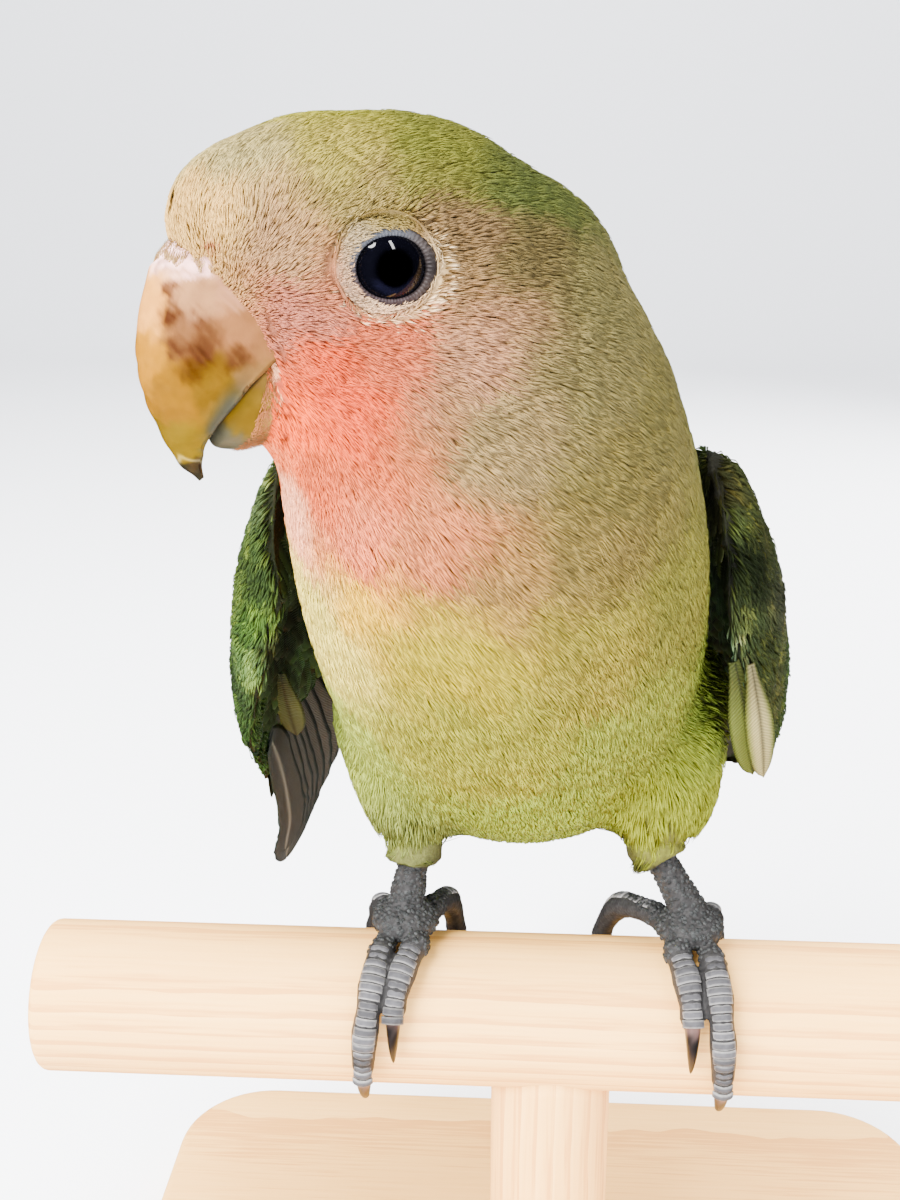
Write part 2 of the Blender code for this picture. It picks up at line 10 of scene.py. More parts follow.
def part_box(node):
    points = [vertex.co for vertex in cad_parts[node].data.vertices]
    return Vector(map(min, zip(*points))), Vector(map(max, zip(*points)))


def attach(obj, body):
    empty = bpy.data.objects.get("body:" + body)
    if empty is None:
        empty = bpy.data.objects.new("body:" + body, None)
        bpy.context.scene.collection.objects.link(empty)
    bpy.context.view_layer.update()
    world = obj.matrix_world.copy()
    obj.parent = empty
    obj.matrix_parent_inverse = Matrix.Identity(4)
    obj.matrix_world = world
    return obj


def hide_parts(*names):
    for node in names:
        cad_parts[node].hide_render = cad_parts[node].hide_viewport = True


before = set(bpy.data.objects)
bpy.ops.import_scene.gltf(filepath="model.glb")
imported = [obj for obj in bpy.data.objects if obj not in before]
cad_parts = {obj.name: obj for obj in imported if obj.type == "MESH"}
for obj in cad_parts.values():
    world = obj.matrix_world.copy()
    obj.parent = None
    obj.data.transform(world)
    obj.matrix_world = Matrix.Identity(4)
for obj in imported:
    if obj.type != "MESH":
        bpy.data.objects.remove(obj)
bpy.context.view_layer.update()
print("frame loaded")

# Everything is worked out in millimetres from the middle of the perch, and becomes metres in makePiece
perchLow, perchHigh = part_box("stand_perch")
perchMiddle = np.array((perchLow + perchHigh) / 2) * 1000
perchRadius = (perchHigh.z - perchLow.z) * 500
luck = np.random.default_rng(41)
bakePatch = 0.003  # how wide one tuft is on the baking map
pointsAtOnce = 20000  # keeps the distance tables small

headPlace = {"middle": (-19.0, -5.0, 74.0), "turn": 60.0}  # the turn is in degrees to the bird's right
headMiddle = np.array(headPlace["middle"])
headTurn = math.radians(headPlace["turn"])
headAxes = np.array((  # forward, left and up
    (-math.sin(headTurn), -math.cos(headTurn), 0.0),
    (math.cos(headTurn), -math.sin(headTurn), 0.0),
    (0.0, 0.0, 1.0),
))


def fromHead(points):  # forward, left, up from the middle of the skull
    return headMiddle + np.asarray(points, float) @ headAxes


def toHead(points):
    return (np.asarray(points, float) - headMiddle) @ headAxes.T


def unit(vectors):
    vectors = np.asarray(vectors, float)
    return vectors / np.maximum(np.linalg.norm(vectors, axis=-1, keepdims=True), 1e-9)


def dot(a, b):
    return np.sum(a * b, axis=-1, keepdims=True)


def flat(ways, ups):  # the ways, laid flat on the surface whose ways out are ups
    return unit(ways - ups * dot(ways, ups))


def treeOf(points, *faceSets):
    return BVHTree.FromPolygons(points.tolist(), [face for some in faceSets for face in some.tolist()])


def ease(value, low, high):
    part = np.clip((np.asarray(value, float) - low) / (high - low), 0, 1)
    return part * part * (3 - 2 * part)


def mix(a, b, part):
    return a + (b - a) * part


def fromHex(code):
    return np.array([int(code[i:i + 2], 16) / 255 for i in (1, 3, 5)])


def linear(colour):  # sRGB numbers to Blender's linear ones
    colour = np.asarray(colour, float)
    return np.where(colour <= 0.04045, colour / 12.92, ((np.maximum(colour, 0) + 0.055) / 1.055) ** 2.4)


def paint(code):
    return (*linear(fromHex(code)), 1.0)


def makePiece(name, points, faces, finish, numbers=None, colours=None, patches=None, stands=()):
    # One mesh object from arrays: faces is a list of arrays, each with its own count of corners
    mesh = bpy.data.meshes.new(name)
    corners = np.concatenate([np.ravel(some) for some in faces]).astype(np.int32)
    sizes = np.concatenate([np.full(len(some), np.shape(some)[1]) for some in faces])
    starts = np.concatenate(([0], np.cumsum(sizes)[:-1])).astype(np.int32)
    mesh.vertices.add(len(points))
    mesh.vertices.foreach_set("co", ((points + perchMiddle) / 1000).astype(np.float32).ravel())
    mesh.loops.add(len(corners))
    mesh.loops.foreach_set("vertex_index", corners)
    mesh.polygons.add(len(sizes))
    mesh.polygons.foreach_set("loop_start", starts)
    mesh.polygons.foreach_set("use_smooth", np.ones(len(sizes), bool))
    mesh.update(calc_edges=True)
    for key, values in (numbers or {}).items():
        mesh.attributes.new(key, "FLOAT", "POINT").data.foreach_set("value", values.astype(np.float32))
    if colours is not None:  # sRGB, in any grid that runs in the order of the points
        rgba = np.ones((len(points), 4), np.float32)
        rgba[:, :3] = linear(np.clip(colours, 0, 1)).reshape(-1, 3)
        mesh.attributes.new("marking", "FLOAT_COLOR", "POINT").data.foreach_set("color", rgba.ravel())
    if patches is not None:
        places = patches[corners] if len(patches) == len(points) else patches
        layer = mesh.uv_layers.new(name="OFBake")
        layer.data.foreach_set("uv", places.astype(np.float32).ravel())
    mesh.materials.append(finish)
    made = bpy.data.objects.new(name, mesh)
    bpy.context.scene.collection.objects.link(made)
    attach(made, "root")
    if stands:
        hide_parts(*stands)
    return made


def node(tree, kind, inputs=None, stops=None, **settings):
    # Adds one shader node, with its settings, its input values or links, and a ramp's colours
    made = tree.nodes.new("ShaderNode" + kind)
    for key, value in settings.items():
        setattr(made, key, value)
    for key, value in (inputs or {}).items():
        if isinstance(value, bpy.types.NodeSocket):
            tree.links.new(value, made.inputs[key])
        else:
            made.inputs[key].default_value = value
    if stops:
        ramp = made.color_ramp.elements
        while len(ramp) < len(stops):
            ramp.new(0.5)
        for element, (place, code) in zip(ramp, stops):
            element.position = place
            element.color = paint(code)
    return made


def newFinish(name, values):  # values are those that are the same all over the surface
    made = bpy.data.materials.new(name)
    made.use_nodes = True
    tree = made.node_tree
    tree.nodes.clear()
    shader = node(tree, "BsdfPrincipled", values)
    output = node(tree, "OutputMaterial", {"Surface": shader.outputs["BSDF"]})
    output.location = (300, 0)
    return made, tree, shader


# Camera and light
camera = {
    "place": (-2.473, -130.365, 134.346),  # mm, from the middle of the base's underside
    "turn": 3.4,
    "down": 18.0,
    "lens": 45.0,
}
lamps = {
    # place and size in mm, aimed at the breast; strength in watts
    "window": {"place": (-360, -420, 420), "size": (460, 460), "watts": 26.0, "shine": False},
    "fill": {"place": (420, -380, 240), "size": (500, 500), "watts": 6.0, "shine": False},
    "top": {"place": (-40, 60, 640), "size": (500, 400), "watts": 9.0, "shine": False},
    "back": {"place": (260, 380, 330), "size": (400, 400), "watts": 7.0, "shine": False},
    "low": {"place": (-60, -430, 70), "size": (500, 160), "watts": 5.0, "shine": False},
    "sparkle": {"place": (-164, -214, 476), "size": (150, 150), "watts": 3.4, "shine": True},
    "sparkleBar": {"place": (162, -188, 477), "size": (50, 150), "watts": 1.0, "shine": True},
}
lampAim = Vector((-5, -5, 95))
room = {"colour": "#eef2fb", "strength": 1.15}  # light from all around, which doesn't show in the shines


def makeCamera():
    data = bpy.data.cameras.new("camera")
    data.lens = camera["lens"]
    data.sensor_width = 36.0
    data.clip_start = 0.01
    made = bpy.data.objects.new("camera", data)
    made.location = Vector(camera["place"]) / 1000
    made.rotation_euler = (math.radians(90 - camera["down"]), 0, math.radians(camera["turn"]))
    bpy.context.scene.collection.objects.link(made)
    bpy.context.scene.camera = made


def makeLamps():
    for name, lamp in lamps.items():
        data = bpy.data.lights.new(name, "AREA")
        data.shape = "ELLIPSE" if name == "sparkle" else "RECTANGLE"
        data.size = lamp["size"][0] / 1000
        data.size_y = lamp["size"][1] / 1000
        data.energy = lamp["watts"]
        made = bpy.data.objects.new(name, data)
        made.location = Vector(lamp["place"]) / 1000
        made.rotation_euler = (lampAim - Vector(lamp["place"])).to_track_quat("-Z", "Y").to_euler()
        made.visible_glossy = lamp["shine"]
        bpy.context.scene.collection.objects.link(made)
    world = bpy.data.worlds.new("studio")
    bpy.context.scene.world = world
    world.use_nodes = True
    world.node_tree.nodes["Background"].inputs["Color"].default_value = paint(room["colour"])
    world.node_tree.nodes["Background"].inputs["Strength"].default_value = room["strength"]
    world.cycles_visibility.glossy = False


sweep = {"width": 3000.0, "near": -1500.0, "far": 700.0, "bend": 350.0, "height": 1600.0,
         "colour": "#f7f8fb"}


def makeSweep():
    # Painted board, rolled matt white: a floor that bends up into a back wall
    values = {"Base Color": paint(sweep["colour"]), "Roughness": 0.9}
    finish, tree, shader = newFinish("mattWhiteBoard", values)
    grit = node(tree, "TexNoise", {"Scale": 900.0, "Detail": 3.0})
    bump = node(tree, "Bump", {"Height": grit.outputs["Fac"], "Strength": 0.05, "Distance": 0.0002})
    tree.links.new(bump.outputs["Normal"], shader.inputs["Normal"])
    floorLevel = -perchMiddle[2]
    path = [(sweep["near"], floorLevel), (sweep["far"], floorLevel)]
    for step in range(1, 17):
        angle = math.pi / 2 * step / 16
        path.append((sweep["far"] + sweep["bend"] * math.sin(angle),
                     floorLevel + sweep["bend"] * (1 - math.cos(angle))))
    path.append((sweep["far"] + sweep["bend"], floorLevel + sweep["height"]))
    points = np.array([(side * sweep["width"] / 2, y, z) for y, z in path for side in (-1, 1)])
    faces = np.array([(2 * i, 2 * i + 1, 2 * i + 3, 2 * i + 2) for i in range(len(path) - 1)])
    mesh = bpy.data.meshes.new("floor")
    mesh.from_pydata(((points + perchMiddle) / 1000).tolist(), [], faces.tolist())
    mesh.materials.append(finish)
    mesh.polygons.foreach_set("use_smooth", np.ones(len(faces), bool))
    made = bpy.data.objects.new("floor", mesh)
    made.visible_glossy = False
    bpy.context.scene.collection.objects.link(made)


# Plumage colours: places on the body, how far each reaches in mm, and its colour.
# Head places are forward, left and up in the head's frame, and are mirrored to its other side.
headZones = {
    "forehead": ((13.6, 3.6, 4.4), 4.5, "#a88448"),
    "foreCrown": ((10.2, 3.5, 8.7), 5.0, "#7f734a"),
    "midCrown": ((3.0, 6.0, 10.1), 5.0, "#776d2e"),
    "midCrownTop": ((2.0, 1.0, 11.8), 4.5, "#69671f"),
    "rearCrown": ((-6.3, 6.7, 9.8), 6.0, "#52541e"),
    "farCrown": ((-13.4, 8.5, 6.0), 6.0, "#39401d"),
    "lores": ((8.8, 7.6, 2.3), 4.0, "#836445"),
    "brow": ((1.5, 9.9, 5.8), 3.6, "#6a5c33"),
    "behindEye": ((-6.4, 12.5, 2.1), 4.5, "#5c4930"),
    "temple": ((-11.1, 13.6, 1.2), 5.0, "#483e24"),
    "belowEye": ((0.9, 11.8, -5.2), 3.6, "#93472d"),
    "lorePink": ((6.9, 8.3, -3.7), 3.8, "#865040"),
    "cheek": ((4.8, 8.9, -10.0), 5.5, "#ad3d1d"),
    "chin": ((6.1, 5.7, -12.8), 5.0, "#cf501d"),
    "throat": ((4.6, 7.1, -16.5), 5.0, "#a74a28"),
    "ear": ((-4.2, 15.3, -5.8), 5.5, "#815c43"),
    "earLow": ((-7.0, 17.2, -11.7), 5.5, "#6d5c3b"),
    "neckSide": ((-13.9, 17.4, -8.4), 6.0, "#574f2f"),
    "nape": ((-17.9, 13.7, -2.9), 6.0, "#524c2c"),
}
# Body places are in mm from the middle of the perch
bodyZones = {
    "throatLow": ((-17.3, -15.6, 52.9), 4.8, "#b35e3d"),
    "throatFront": ((-10.7, -18.3, 52.5), 5.0, "#a25d39"),
    "throatRight": ((-23.5, -9.0, 53.5), 4.6, "#d08a68"),
    "neckEdge": ((7.3, -10.2, 63.4), 5.5, "#4f4926"),
    "neckOlive": ((4.0, -15.2, 58.0), 5.5, "#574e28"),
    "breastHigh": ((2.5, -16.7, 53.5), 5.0, "#61532b"),
    "breastMiddle": ((-5.2, -18.4, 49.5), 4.2, "#7d6034"),
    "breastRim": ((-16.5, -15.0, 47.4), 3.6, "#c2981d"),
    "bandRight": ((-22.9, -8.5, 43.4), 6.2, "#b5a64a"),
    "bandMiddle": ((-9.2, -17.0, 42.8), 6.0, "#8e7f1d"),
    "bandLeft": ((2.9, -15.3, 42.6), 5.5, "#726925"),
    "breastSide": ((10.5, -9.6, 46.4), 5.0, "#5c5a22"),
    "bellyRight": ((-18.6, -1.7, 27.5), 6.5, "#7a8633"),
    "bellyMiddle": ((-7.0, -12.0, 33.0), 7.0, "#777525"),
    "bellyLeft": ((5.2, -9.3, 31.5), 6.5, "#6b7327"),
    "bellyLow": ((-2.5, -5.4, 22.6), 6.5, "#728029"),
    "vent": ((-2.5, 18.0, 9.0), 9.0, "#5f7a1d"),
    "underTail": ((-2.5, 42.0, 3.0), 8.0, "#536f1d"),
    "flankLeft": ((14.0, 8.0, 34.0), 7.0, "#4c5b1d"),
    "flankRight": ((-22.0, 10.0, 32.0), 7.0, "#4c5b1d"),
    "thighRight": ((-14.9, 0.0, 19.4), 5.0, "#5e6630"),
    "thighLeft": ((9.6, 0.0, 22.4), 5.0, "#6a701d"),
    # The cuffs, where the thigh feathers end above the ankles, are darkened as painted shade under the
    # thighs
    "cuffShadeRight": ((-13.6, 1.2, 15.8), 3.4, "#2c2e14"),
    "cuffShadeLeft": ((9.2, 1.2, 16.2), 3.4, "#2c2e14"),
    "napeLow": ((4.0, 11.0, 62.0), 8.0, "#343f1d"),
    "napeRight": ((-18.0, 12.0, 64.0), 8.0, "#343f1d"),
    "mantle": ((-4.0, 20.0, 52.0), 9.0, "#253c1d"),
    "back": ((-3.0, 29.0, 40.0), 8.0, "#223d1d"),
    "rump": ((-2.5, 38.0, 29.0), 7.0, "#1d3f52"),
    "rumpLow": ((-2.5, 47.0, 19.0), 7.0, "#1d425b"),
}
eyeCentre = np.array((0.1, 8.6, 0.1))
eyeRadius = 3.7
billRoot = np.array((9.0, 0.0, -3.0))  # in the head's frame: the feathers grow longer away from here
faceMarks = {
    "cream": "#d6bd97",  # feathers behind and below each eye
    "lore": "#85755f",  # grey-white ones ahead of it
    "nostrilSide": "#6e3428",  # a rusty spot beside each nostril
    "nostrilPlace": (12.3, 4.2, 1.5),
}


def zoneArrays(zones):
    places, reaches, codes = zip(*zones)
    return np.array(places), np.array(reaches), np.array([fromHex(code) for code in codes])


def zoneBlend(points, zones, power, soften=0.05):
    # Each zone's colour, weighed by how near it is for its reach
    places, reaches, colours = zones
    blended = np.empty((len(points), 3))
    for start in range(0, len(points), pointsAtOnce):
        part = points[start:start + pointsAtOnce]
        far = np.linalg.norm(part[:, None, :] - places[None], axis=2) / reaches
        weight = 1 / (far * far + soften) ** power
        weight /= weight.sum(1, keepdims=True)
        blended[start:start + pointsAtOnce] = weight @ colours
    return blended


plumageZones = zoneArrays(
    [(fromHead((place[0], place[1] * side, place[2])), reach, code)
     for place, reach, code in headZones.values() for side in (1, -1)] + list(bodyZones.values()))


def ripple(points, size):  # a smooth, uneven wander of each point, about 1 either way
    turns = np.array(((1.0, 0.7, -0.4), (-0.6, 1.1, 0.8), (0.5, -0.9, 1.2)))
    waves = points @ turns.T * (2 * math.pi / size)
    return np.sin(waves + 1.7 * np.sin(waves[:, (1, 2, 0)] * 0.61 + 0.8))


def plumageAt(points):  # sRGB colour of the plumage at each point
    colours = zoneBlend(points + ripple(points, 9.0) * 0.9, plumageZones, 2.3, 0.12)
    inHead = toHead(points)
    for side in (1, -1):
        reach = inHead - eyeCentre * (1, side, 1)
        away = np.hypot(reach[:, 0], reach[:, 2])
        down = (-0.75 * reach[:, 2] - 0.65 * reach[:, 0]) / np.maximum(away, 0.1)
        ahead = ease(reach[:, 0] / np.maximum(away, 0.1), 0.25, 0.75)
        onSide = reach[:, 1] * side > -2
        cream = (1 - ease(away, 3.9, mix(4.65, 4.35, ahead))) * ease(down, -0.35, 0.35) * onSide
        colours = mix(colours, fromHex(faceMarks["cream"]), 0.7 * cream[:, None])
        pale = (1 - ease(away, 3.9, 4.5)) * ahead * onSide * ease(reach[:, 2], -3.4, -2.2)
        colours = mix(colours, fromHex(faceMarks["lore"]), 0.7 * pale[:, None])
        beside = np.linalg.norm(inHead - np.array(faceMarks["nostrilPlace"]) * (1, side, 1), axis=1)
        beside = 0.8 * np.exp(-(beside / 0.55) ** 2)
        colours = mix(colours, fromHex(faceMarks["nostrilSide"]), beside[:, None])
    return colours


def lieAt(points, ups):  # which way the feathers lie: away from the bill, then down the body
    fromBill = points - fromHead((8.5, 0, -2.5))
    far = np.linalg.norm(fromBill, axis=1, keepdims=True)
    downBody = np.array((0.0, 0.74, -0.67)) + np.array((0.0, -0.9, -0.6)) * ease(-points[:, 1:2], 2, 14)
    downBody = downBody + (points - (-5.0, 4.0, 40.0)) * (0.02, 0.0, 0.0)
    way = mix(unit(fromBill), unit(downBody), ease(far, 30, 64))
    for across in (-14.0, 10.0):  # down the thighs
        reach = np.hypot(points[:, 0:1] - across, points[:, 1:2] - 1.0)
        legs = (1 - ease(reach, 5, 9)) * (1 - ease(points[:, 2:3], 24, 30))
        way = mix(way, np.array((0.0, 0.1, -1.0)), legs)
    for side in (1, -1):  # round the eyes
        fromEye = points - fromHead(eyeCentre * (1, side, 1))
        away = np.linalg.norm(fromEye, axis=1, keepdims=True)
        radial = fromEye / away
        inward = np.clip(-dot(way, radial), 0, 1)
        way = way + radial * inward * np.exp(-((away - 3.6) / 2.8) ** 2)
    return flat(way, ups)


# The body skin: the flesh solids grown together, smoothed, and sunk by the depth of the coat
skinMake = {
    "grow": 0.35,  # mm, closes the thin cuts between the solids
    "voxel": 0.75,
    "smoothing": 12,
    "bodyDepth": 1.25,
    "faceDepth": 0.75,
    "wingVoxel": 0.6,
    "wingSmoothing": 10,
    "wingDepth": 0.75,
}


def nodeArrays(name):
    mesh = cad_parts[name].data
    points = np.empty(len(mesh.vertices) * 3)
    mesh.vertices.foreach_get("co", points)
    mesh.calc_loop_triangles()
    faces = np.empty(len(mesh.loop_triangles) * 3, np.int32)
    mesh.loop_triangles.foreach_get("vertices", faces)
    return points.reshape(-1, 3) * 1000 - perchMiddle, faces.reshape(-1, 3)


def mergedNode(name):  # the node with its doubled corner points joined, so that normals are shared
    points, faces = nodeArrays(name)
    first, same = np.unique(np.round(points, 3), axis=0, return_index=True, return_inverse=True)[1:]
    faces = same.ravel()[faces]
    keep = (faces[:, 0] != faces[:, 1]) & (faces[:, 1] != faces[:, 2]) & (faces[:, 2] != faces[:, 0])
    return points[first], faces[keep]


def pointNormals(points, faces):
    sums = np.zeros_like(points)
    edgeA = points[faces[:, 1]] - points[faces[:, 0]]
    edgeB = points[faces[:, 2]] - points[faces[:, 0]]
    facing = np.cross(edgeA, edgeB)
    for corner in range(faces.shape[1]):
        np.add.at(sums, faces[:, corner], facing)
    return unit(sums)


def remeshed(points, faces, voxel, smoothing):
    mesh = bpy.data.meshes.new("draft")
    mesh.from_pydata((points / 1000).tolist(), [], faces.tolist())
    draft = bpy.data.objects.new("draft", mesh)
    bpy.context.scene.collection.objects.link(draft)
    fuse = draft.modifiers.new("fuse", "REMESH")
    fuse.mode = "VOXEL"
    fuse.voxel_size = voxel / 1000
    relax = draft.modifiers.new("relax", "SMOOTH")
    relax.iterations = smoothing
    relax.factor = 0.5
    bpy.context.view_layer.update()
    seen = draft.evaluated_get(bpy.context.evaluated_depsgraph_get()).to_mesh()
    found = np.empty(len(seen.vertices) * 3)
    seen.vertices.foreach_get("co", found)
    corners = np.empty(len(seen.loops), np.int32)
    seen.loops.foreach_get("vertex_index", corners)
    bpy.data.objects.remove(draft, do_unlink=True)
    return found.reshape(-1, 3) * 1000, corners.reshape(-1, 4)


def grownTogether(names, grow, voxel, smoothing):
    solids = []
    for name in names:
        points, faces = mergedNode(name)
        solids.append((points + pointNormals(points, faces) * grow, [faces]))
    points, faces = joined(solids)
    return remeshed(points, faces[0], voxel, smoothing)


def makeSkinSurface():
    fleshNodes = ("head", "neck", "trunk", "thigh_left", "thigh_right")
    points, faces = grownTogether(fleshNodes, skinMake["grow"], skinMake["voxel"], skinMake["smoothing"])
    ups = pointNormals(points, faces)
    inHead = toHead(points)
    fromBill = np.linalg.norm(inHead - billRoot, axis=1)
    depth = mix(skinMake["faceDepth"], skinMake["bodyDepth"], ease(fromBill, 12, 26))
    depth = depth * mix(0.45, 1.0, ease(fromBill, 7, 11))
    points = points - ups * (depth + skinMake["grow"])[:, None]
    return points, faces


# Tufts: closed, tapering spindles, buried at the root, each one bundle of a soft feather's barbs
spindle = np.array(((0, 2, 1), (0, 3, 2), (0, 1, 3), (1, 2, 4), (2, 3, 4), (3, 1, 4)))
spindleAlong = (0.0, 0.64, 0.64, 0.64, 1.0)
spindleThickness = 0.36  # of its width


def makeTufts(roots, ups, ways, length, width, lift, tree):
    side = unit(np.cross(ways, ups))
    middle, middleUp = settle(tree, roots + ways * (length * spindleAlong[1])[:, None])
    tip, tipUp = settle(tree, roots + ways * length[:, None])
    middle = middle + unit(middleUp + ups) * (lift * 0.85)[:, None]
    tip = tip + unit(tipUp + ups) * lift[:, None]
    half = side * (width * 0.5)[:, None]
    ridge = middle + ups * (width * spindleThickness)[:, None]
    corners = [roots - ups * 0.25, middle - half, middle + half, ridge, tip]
    # A tuft that folds up over an edge, or jumps a fold of the body, isn't sound
    reach = np.linalg.norm(tip - roots, axis=1) / length
    sound = (reach > 0.72) & (reach < 1.3) & (dot(tipUp, ups)[:, 0] > 0.25)
    return np.stack(corners, axis=1), sound


def settle(tree, points):  # the nearest place on the skin, and the way out of it there
    found = [tree.find_nearest(point) for point in points.tolist()]
    return np.array([hit[0] for hit in found]), np.array([hit[1] for hit in found])


def scatterRoots(points, faces, gap, thin=1.0):
    # Random places on the surface, about one to each cell as wide as the gap, which may vary over it
    triangles = np.concatenate((faces[:, (0, 1, 2)], faces[:, (0, 2, 3)]))
    normals = pointNormals(points, faces)
    corners = points[triangles]
    area = np.linalg.norm(np.cross(corners[:, 1] - corners[:, 0], corners[:, 2] - corners[:, 0]), axis=1) / 2
    gaps = (gap(corners.mean(1)) if callable(gap) else np.full(len(corners), gap)) * thin
    counts = luck.poisson(np.minimum(area / gaps ** 2 * 3.2, 60))
    picked = np.repeat(np.arange(len(triangles)), counts)
    a = np.sqrt(luck.random(len(picked)))
    b = luck.random(len(picked))
    shares = np.stack((1 - a, a * (1 - b), a * b), axis=1)[:, :, None]  # of the triangle's corners
    roots = (points[triangles[picked]] * shares).sum(1)
    ups = unit((normals[triangles[picked]] * shares).sum(1))
    order = luck.permutation(len(roots))
    roots, ups = roots[order], ups[order]
    level = np.round(np.log(gaps[picked][order]) / math.log(1.1)).astype(np.int64)
    cells = np.floor(roots / (1.1 ** level)[:, None]).astype(np.int64) + 4096
    keys = ((level + 64) * 8192 + cells[:, 0]) * 8192 * 8192 + cells[:, 1] * 8192 + cells[:, 2]
    first = np.unique(keys, return_index=True)[1]  # the first root in each cell stays
    return roots[first], ups[first]


# The middle line of the body, from the vent up to the crown, for the baking map's unwrap
bodyLine = np.array(((-2.5, 46, 10), (-2.7, 30, 18), (-3.4, 15, 27.8), (-4.4, 6, 36.6), (-5.9, -0.6, 49),
                     (-8, -2, 61), (-14, -4, 70), (-18, -5, 77)))


def unwrapAt(points):  # across: the turn round the body's line; along: the place on that line
    steps = np.linspace(0, len(bodyLine) - 1, 90)
    line = np.stack([np.interp(steps, range(len(bodyLine)), bodyLine[:, i]) for i in range(3)], axis=1)
    places = np.concatenate(([0], np.cumsum(np.linalg.norm(np.diff(line, axis=0), axis=1))))
    heading = unit(np.gradient(line, axis=0))
    front = flat(np.array((0.0, -1.0, -0.3)), heading)
    nearest = np.empty(len(points), int)
    for start in range(0, len(points), pointsAtOnce):
        part = points[start:start + pointsAtOnce]
        nearest[start:start + pointsAtOnce] = np.linalg.norm(part[:, None] - line[None], axis=2).argmin(1)
    reach = points - line[nearest]
    side = np.cross(heading, front)[nearest]
    turn = np.arctan2(dot(reach, side)[:, 0], dot(reach, front[nearest])[:, 0])
    high = places[nearest] + dot(reach, heading[nearest])[:, 0]
    return np.stack((turn / (2 * math.pi), high / 140.0), axis=1)


def fitted(places):  # spreads a piece's part of the unwrap over its own map
    low, high = places.min(0), places.max(0)
    return 0.01 + 0.98 * (places - low) / np.maximum(high - low, 1e-6)


# The soft feathers by place, in mm: the gap between barb bundles, their length and width
coat = {
    "gap": (0.145, 0.17, 0.20, 0.235),  # at the face, the head, the neck and the body
    "length": (1.3, 2.6, 3.6, 4.4),
    "width": (0.13, 0.16, 0.19, 0.225),
    "backGap": 0.34,
    "underWing": 0.12,  # the share of the feathers that is kept where a wing covers them
    "clump": 2.6,  # across one whole feather
    "fan": 16.0,  # degrees that its outer barbs turn away
    "wander": 5.0,  # degrees that whole feathers turn from the lie
}


def coatPlan(points):  # how far each point is from the bill, and how far on it is to head, neck and body
    fromBill = np.linalg.norm(points - fromHead(billRoot), axis=1)
    return fromBill, ease(fromBill, 5, 11), ease(fromBill, 14, 28), ease(fromBill, 36, 54)


def coatGap(points):
    onNeck = coatPlan(points)[2]
    back = ease(points[:, 1] - 0.45 * (60 - points[:, 2]), 2, 10)
    return mix(coatSize(points, "gap"), coat["backGap"], back * onNeck)


def coatSize(points, kind):
    sizes = coat[kind]
    size = sizes[0]
    for share, value in zip(coatPlan(points)[1:], sizes[1:]):
        size = mix(size, value, share)
    return size


def insideOf(name, points, slack):  # True where a point is in the node, or within the slack of it
    onto, out = settle(treeOf(*nodeArrays(name)), points)
    offset = points - onto
    return (dot(offset, out)[:, 0] < slack) & (np.linalg.norm(offset, axis=1) < 3.0)


def underWing(roots, ups):  # True where a folded wing covers the skin
    hidden = np.zeros(len(roots), bool)
    for name in ("wing_left", "wing_right"):
        tree = treeOf(*nodeArrays(name))
        hits = [tree.ray_cast(root, up, 7.0)[0] for root, up in zip(roots.tolist(), ups.tolist())]
        hidden |= np.array([hit is not None for hit in hits])
    return hidden


def clumpTurns(roots, ups, ways, kind):
    # Barbs near one feather's middle turn together, and fan out towards its rim. Gives their ways, how far
    # across and ahead each is in its feather, and that feather's tone
    size = kind["clump"]
    cells = np.floor(roots / size).astype(np.int64)
    keys = ((cells[:, 0] + 512) * 1024 + cells[:, 1] + 512) * 1024 + cells[:, 2] + 512
    first = np.unique(keys, return_index=True)[1]
    centres = roots[first] + luck.normal(0, size * 0.12, (len(first), 3))
    tree = kdtree.KDTree(len(centres))
    for index, centre in enumerate(centres.tolist()):
        tree.insert(centre, index)
    tree.balance()
    owner = np.array([tree.find(root)[1] for root in roots.tolist()])
    side = unit(np.cross(ways, ups))
    reach = roots - centres[owner]
    across = dot(reach, side)[:, 0] / size
    ahead = dot(reach, ways)[:, 0] / size
    turn = np.radians(kind["wander"]) * luck.normal(0, 1, len(centres))[owner]
    turn += np.radians(kind["fan"]) * across * 1.6
    turn += np.radians(4.0) * luck.normal(0, 1, len(roots))
    ways = unit(ways * np.cos(turn)[:, None] + side * np.sin(turn)[:, None])
    return ways, across, ahead, luck.random(len(centres))[owner]


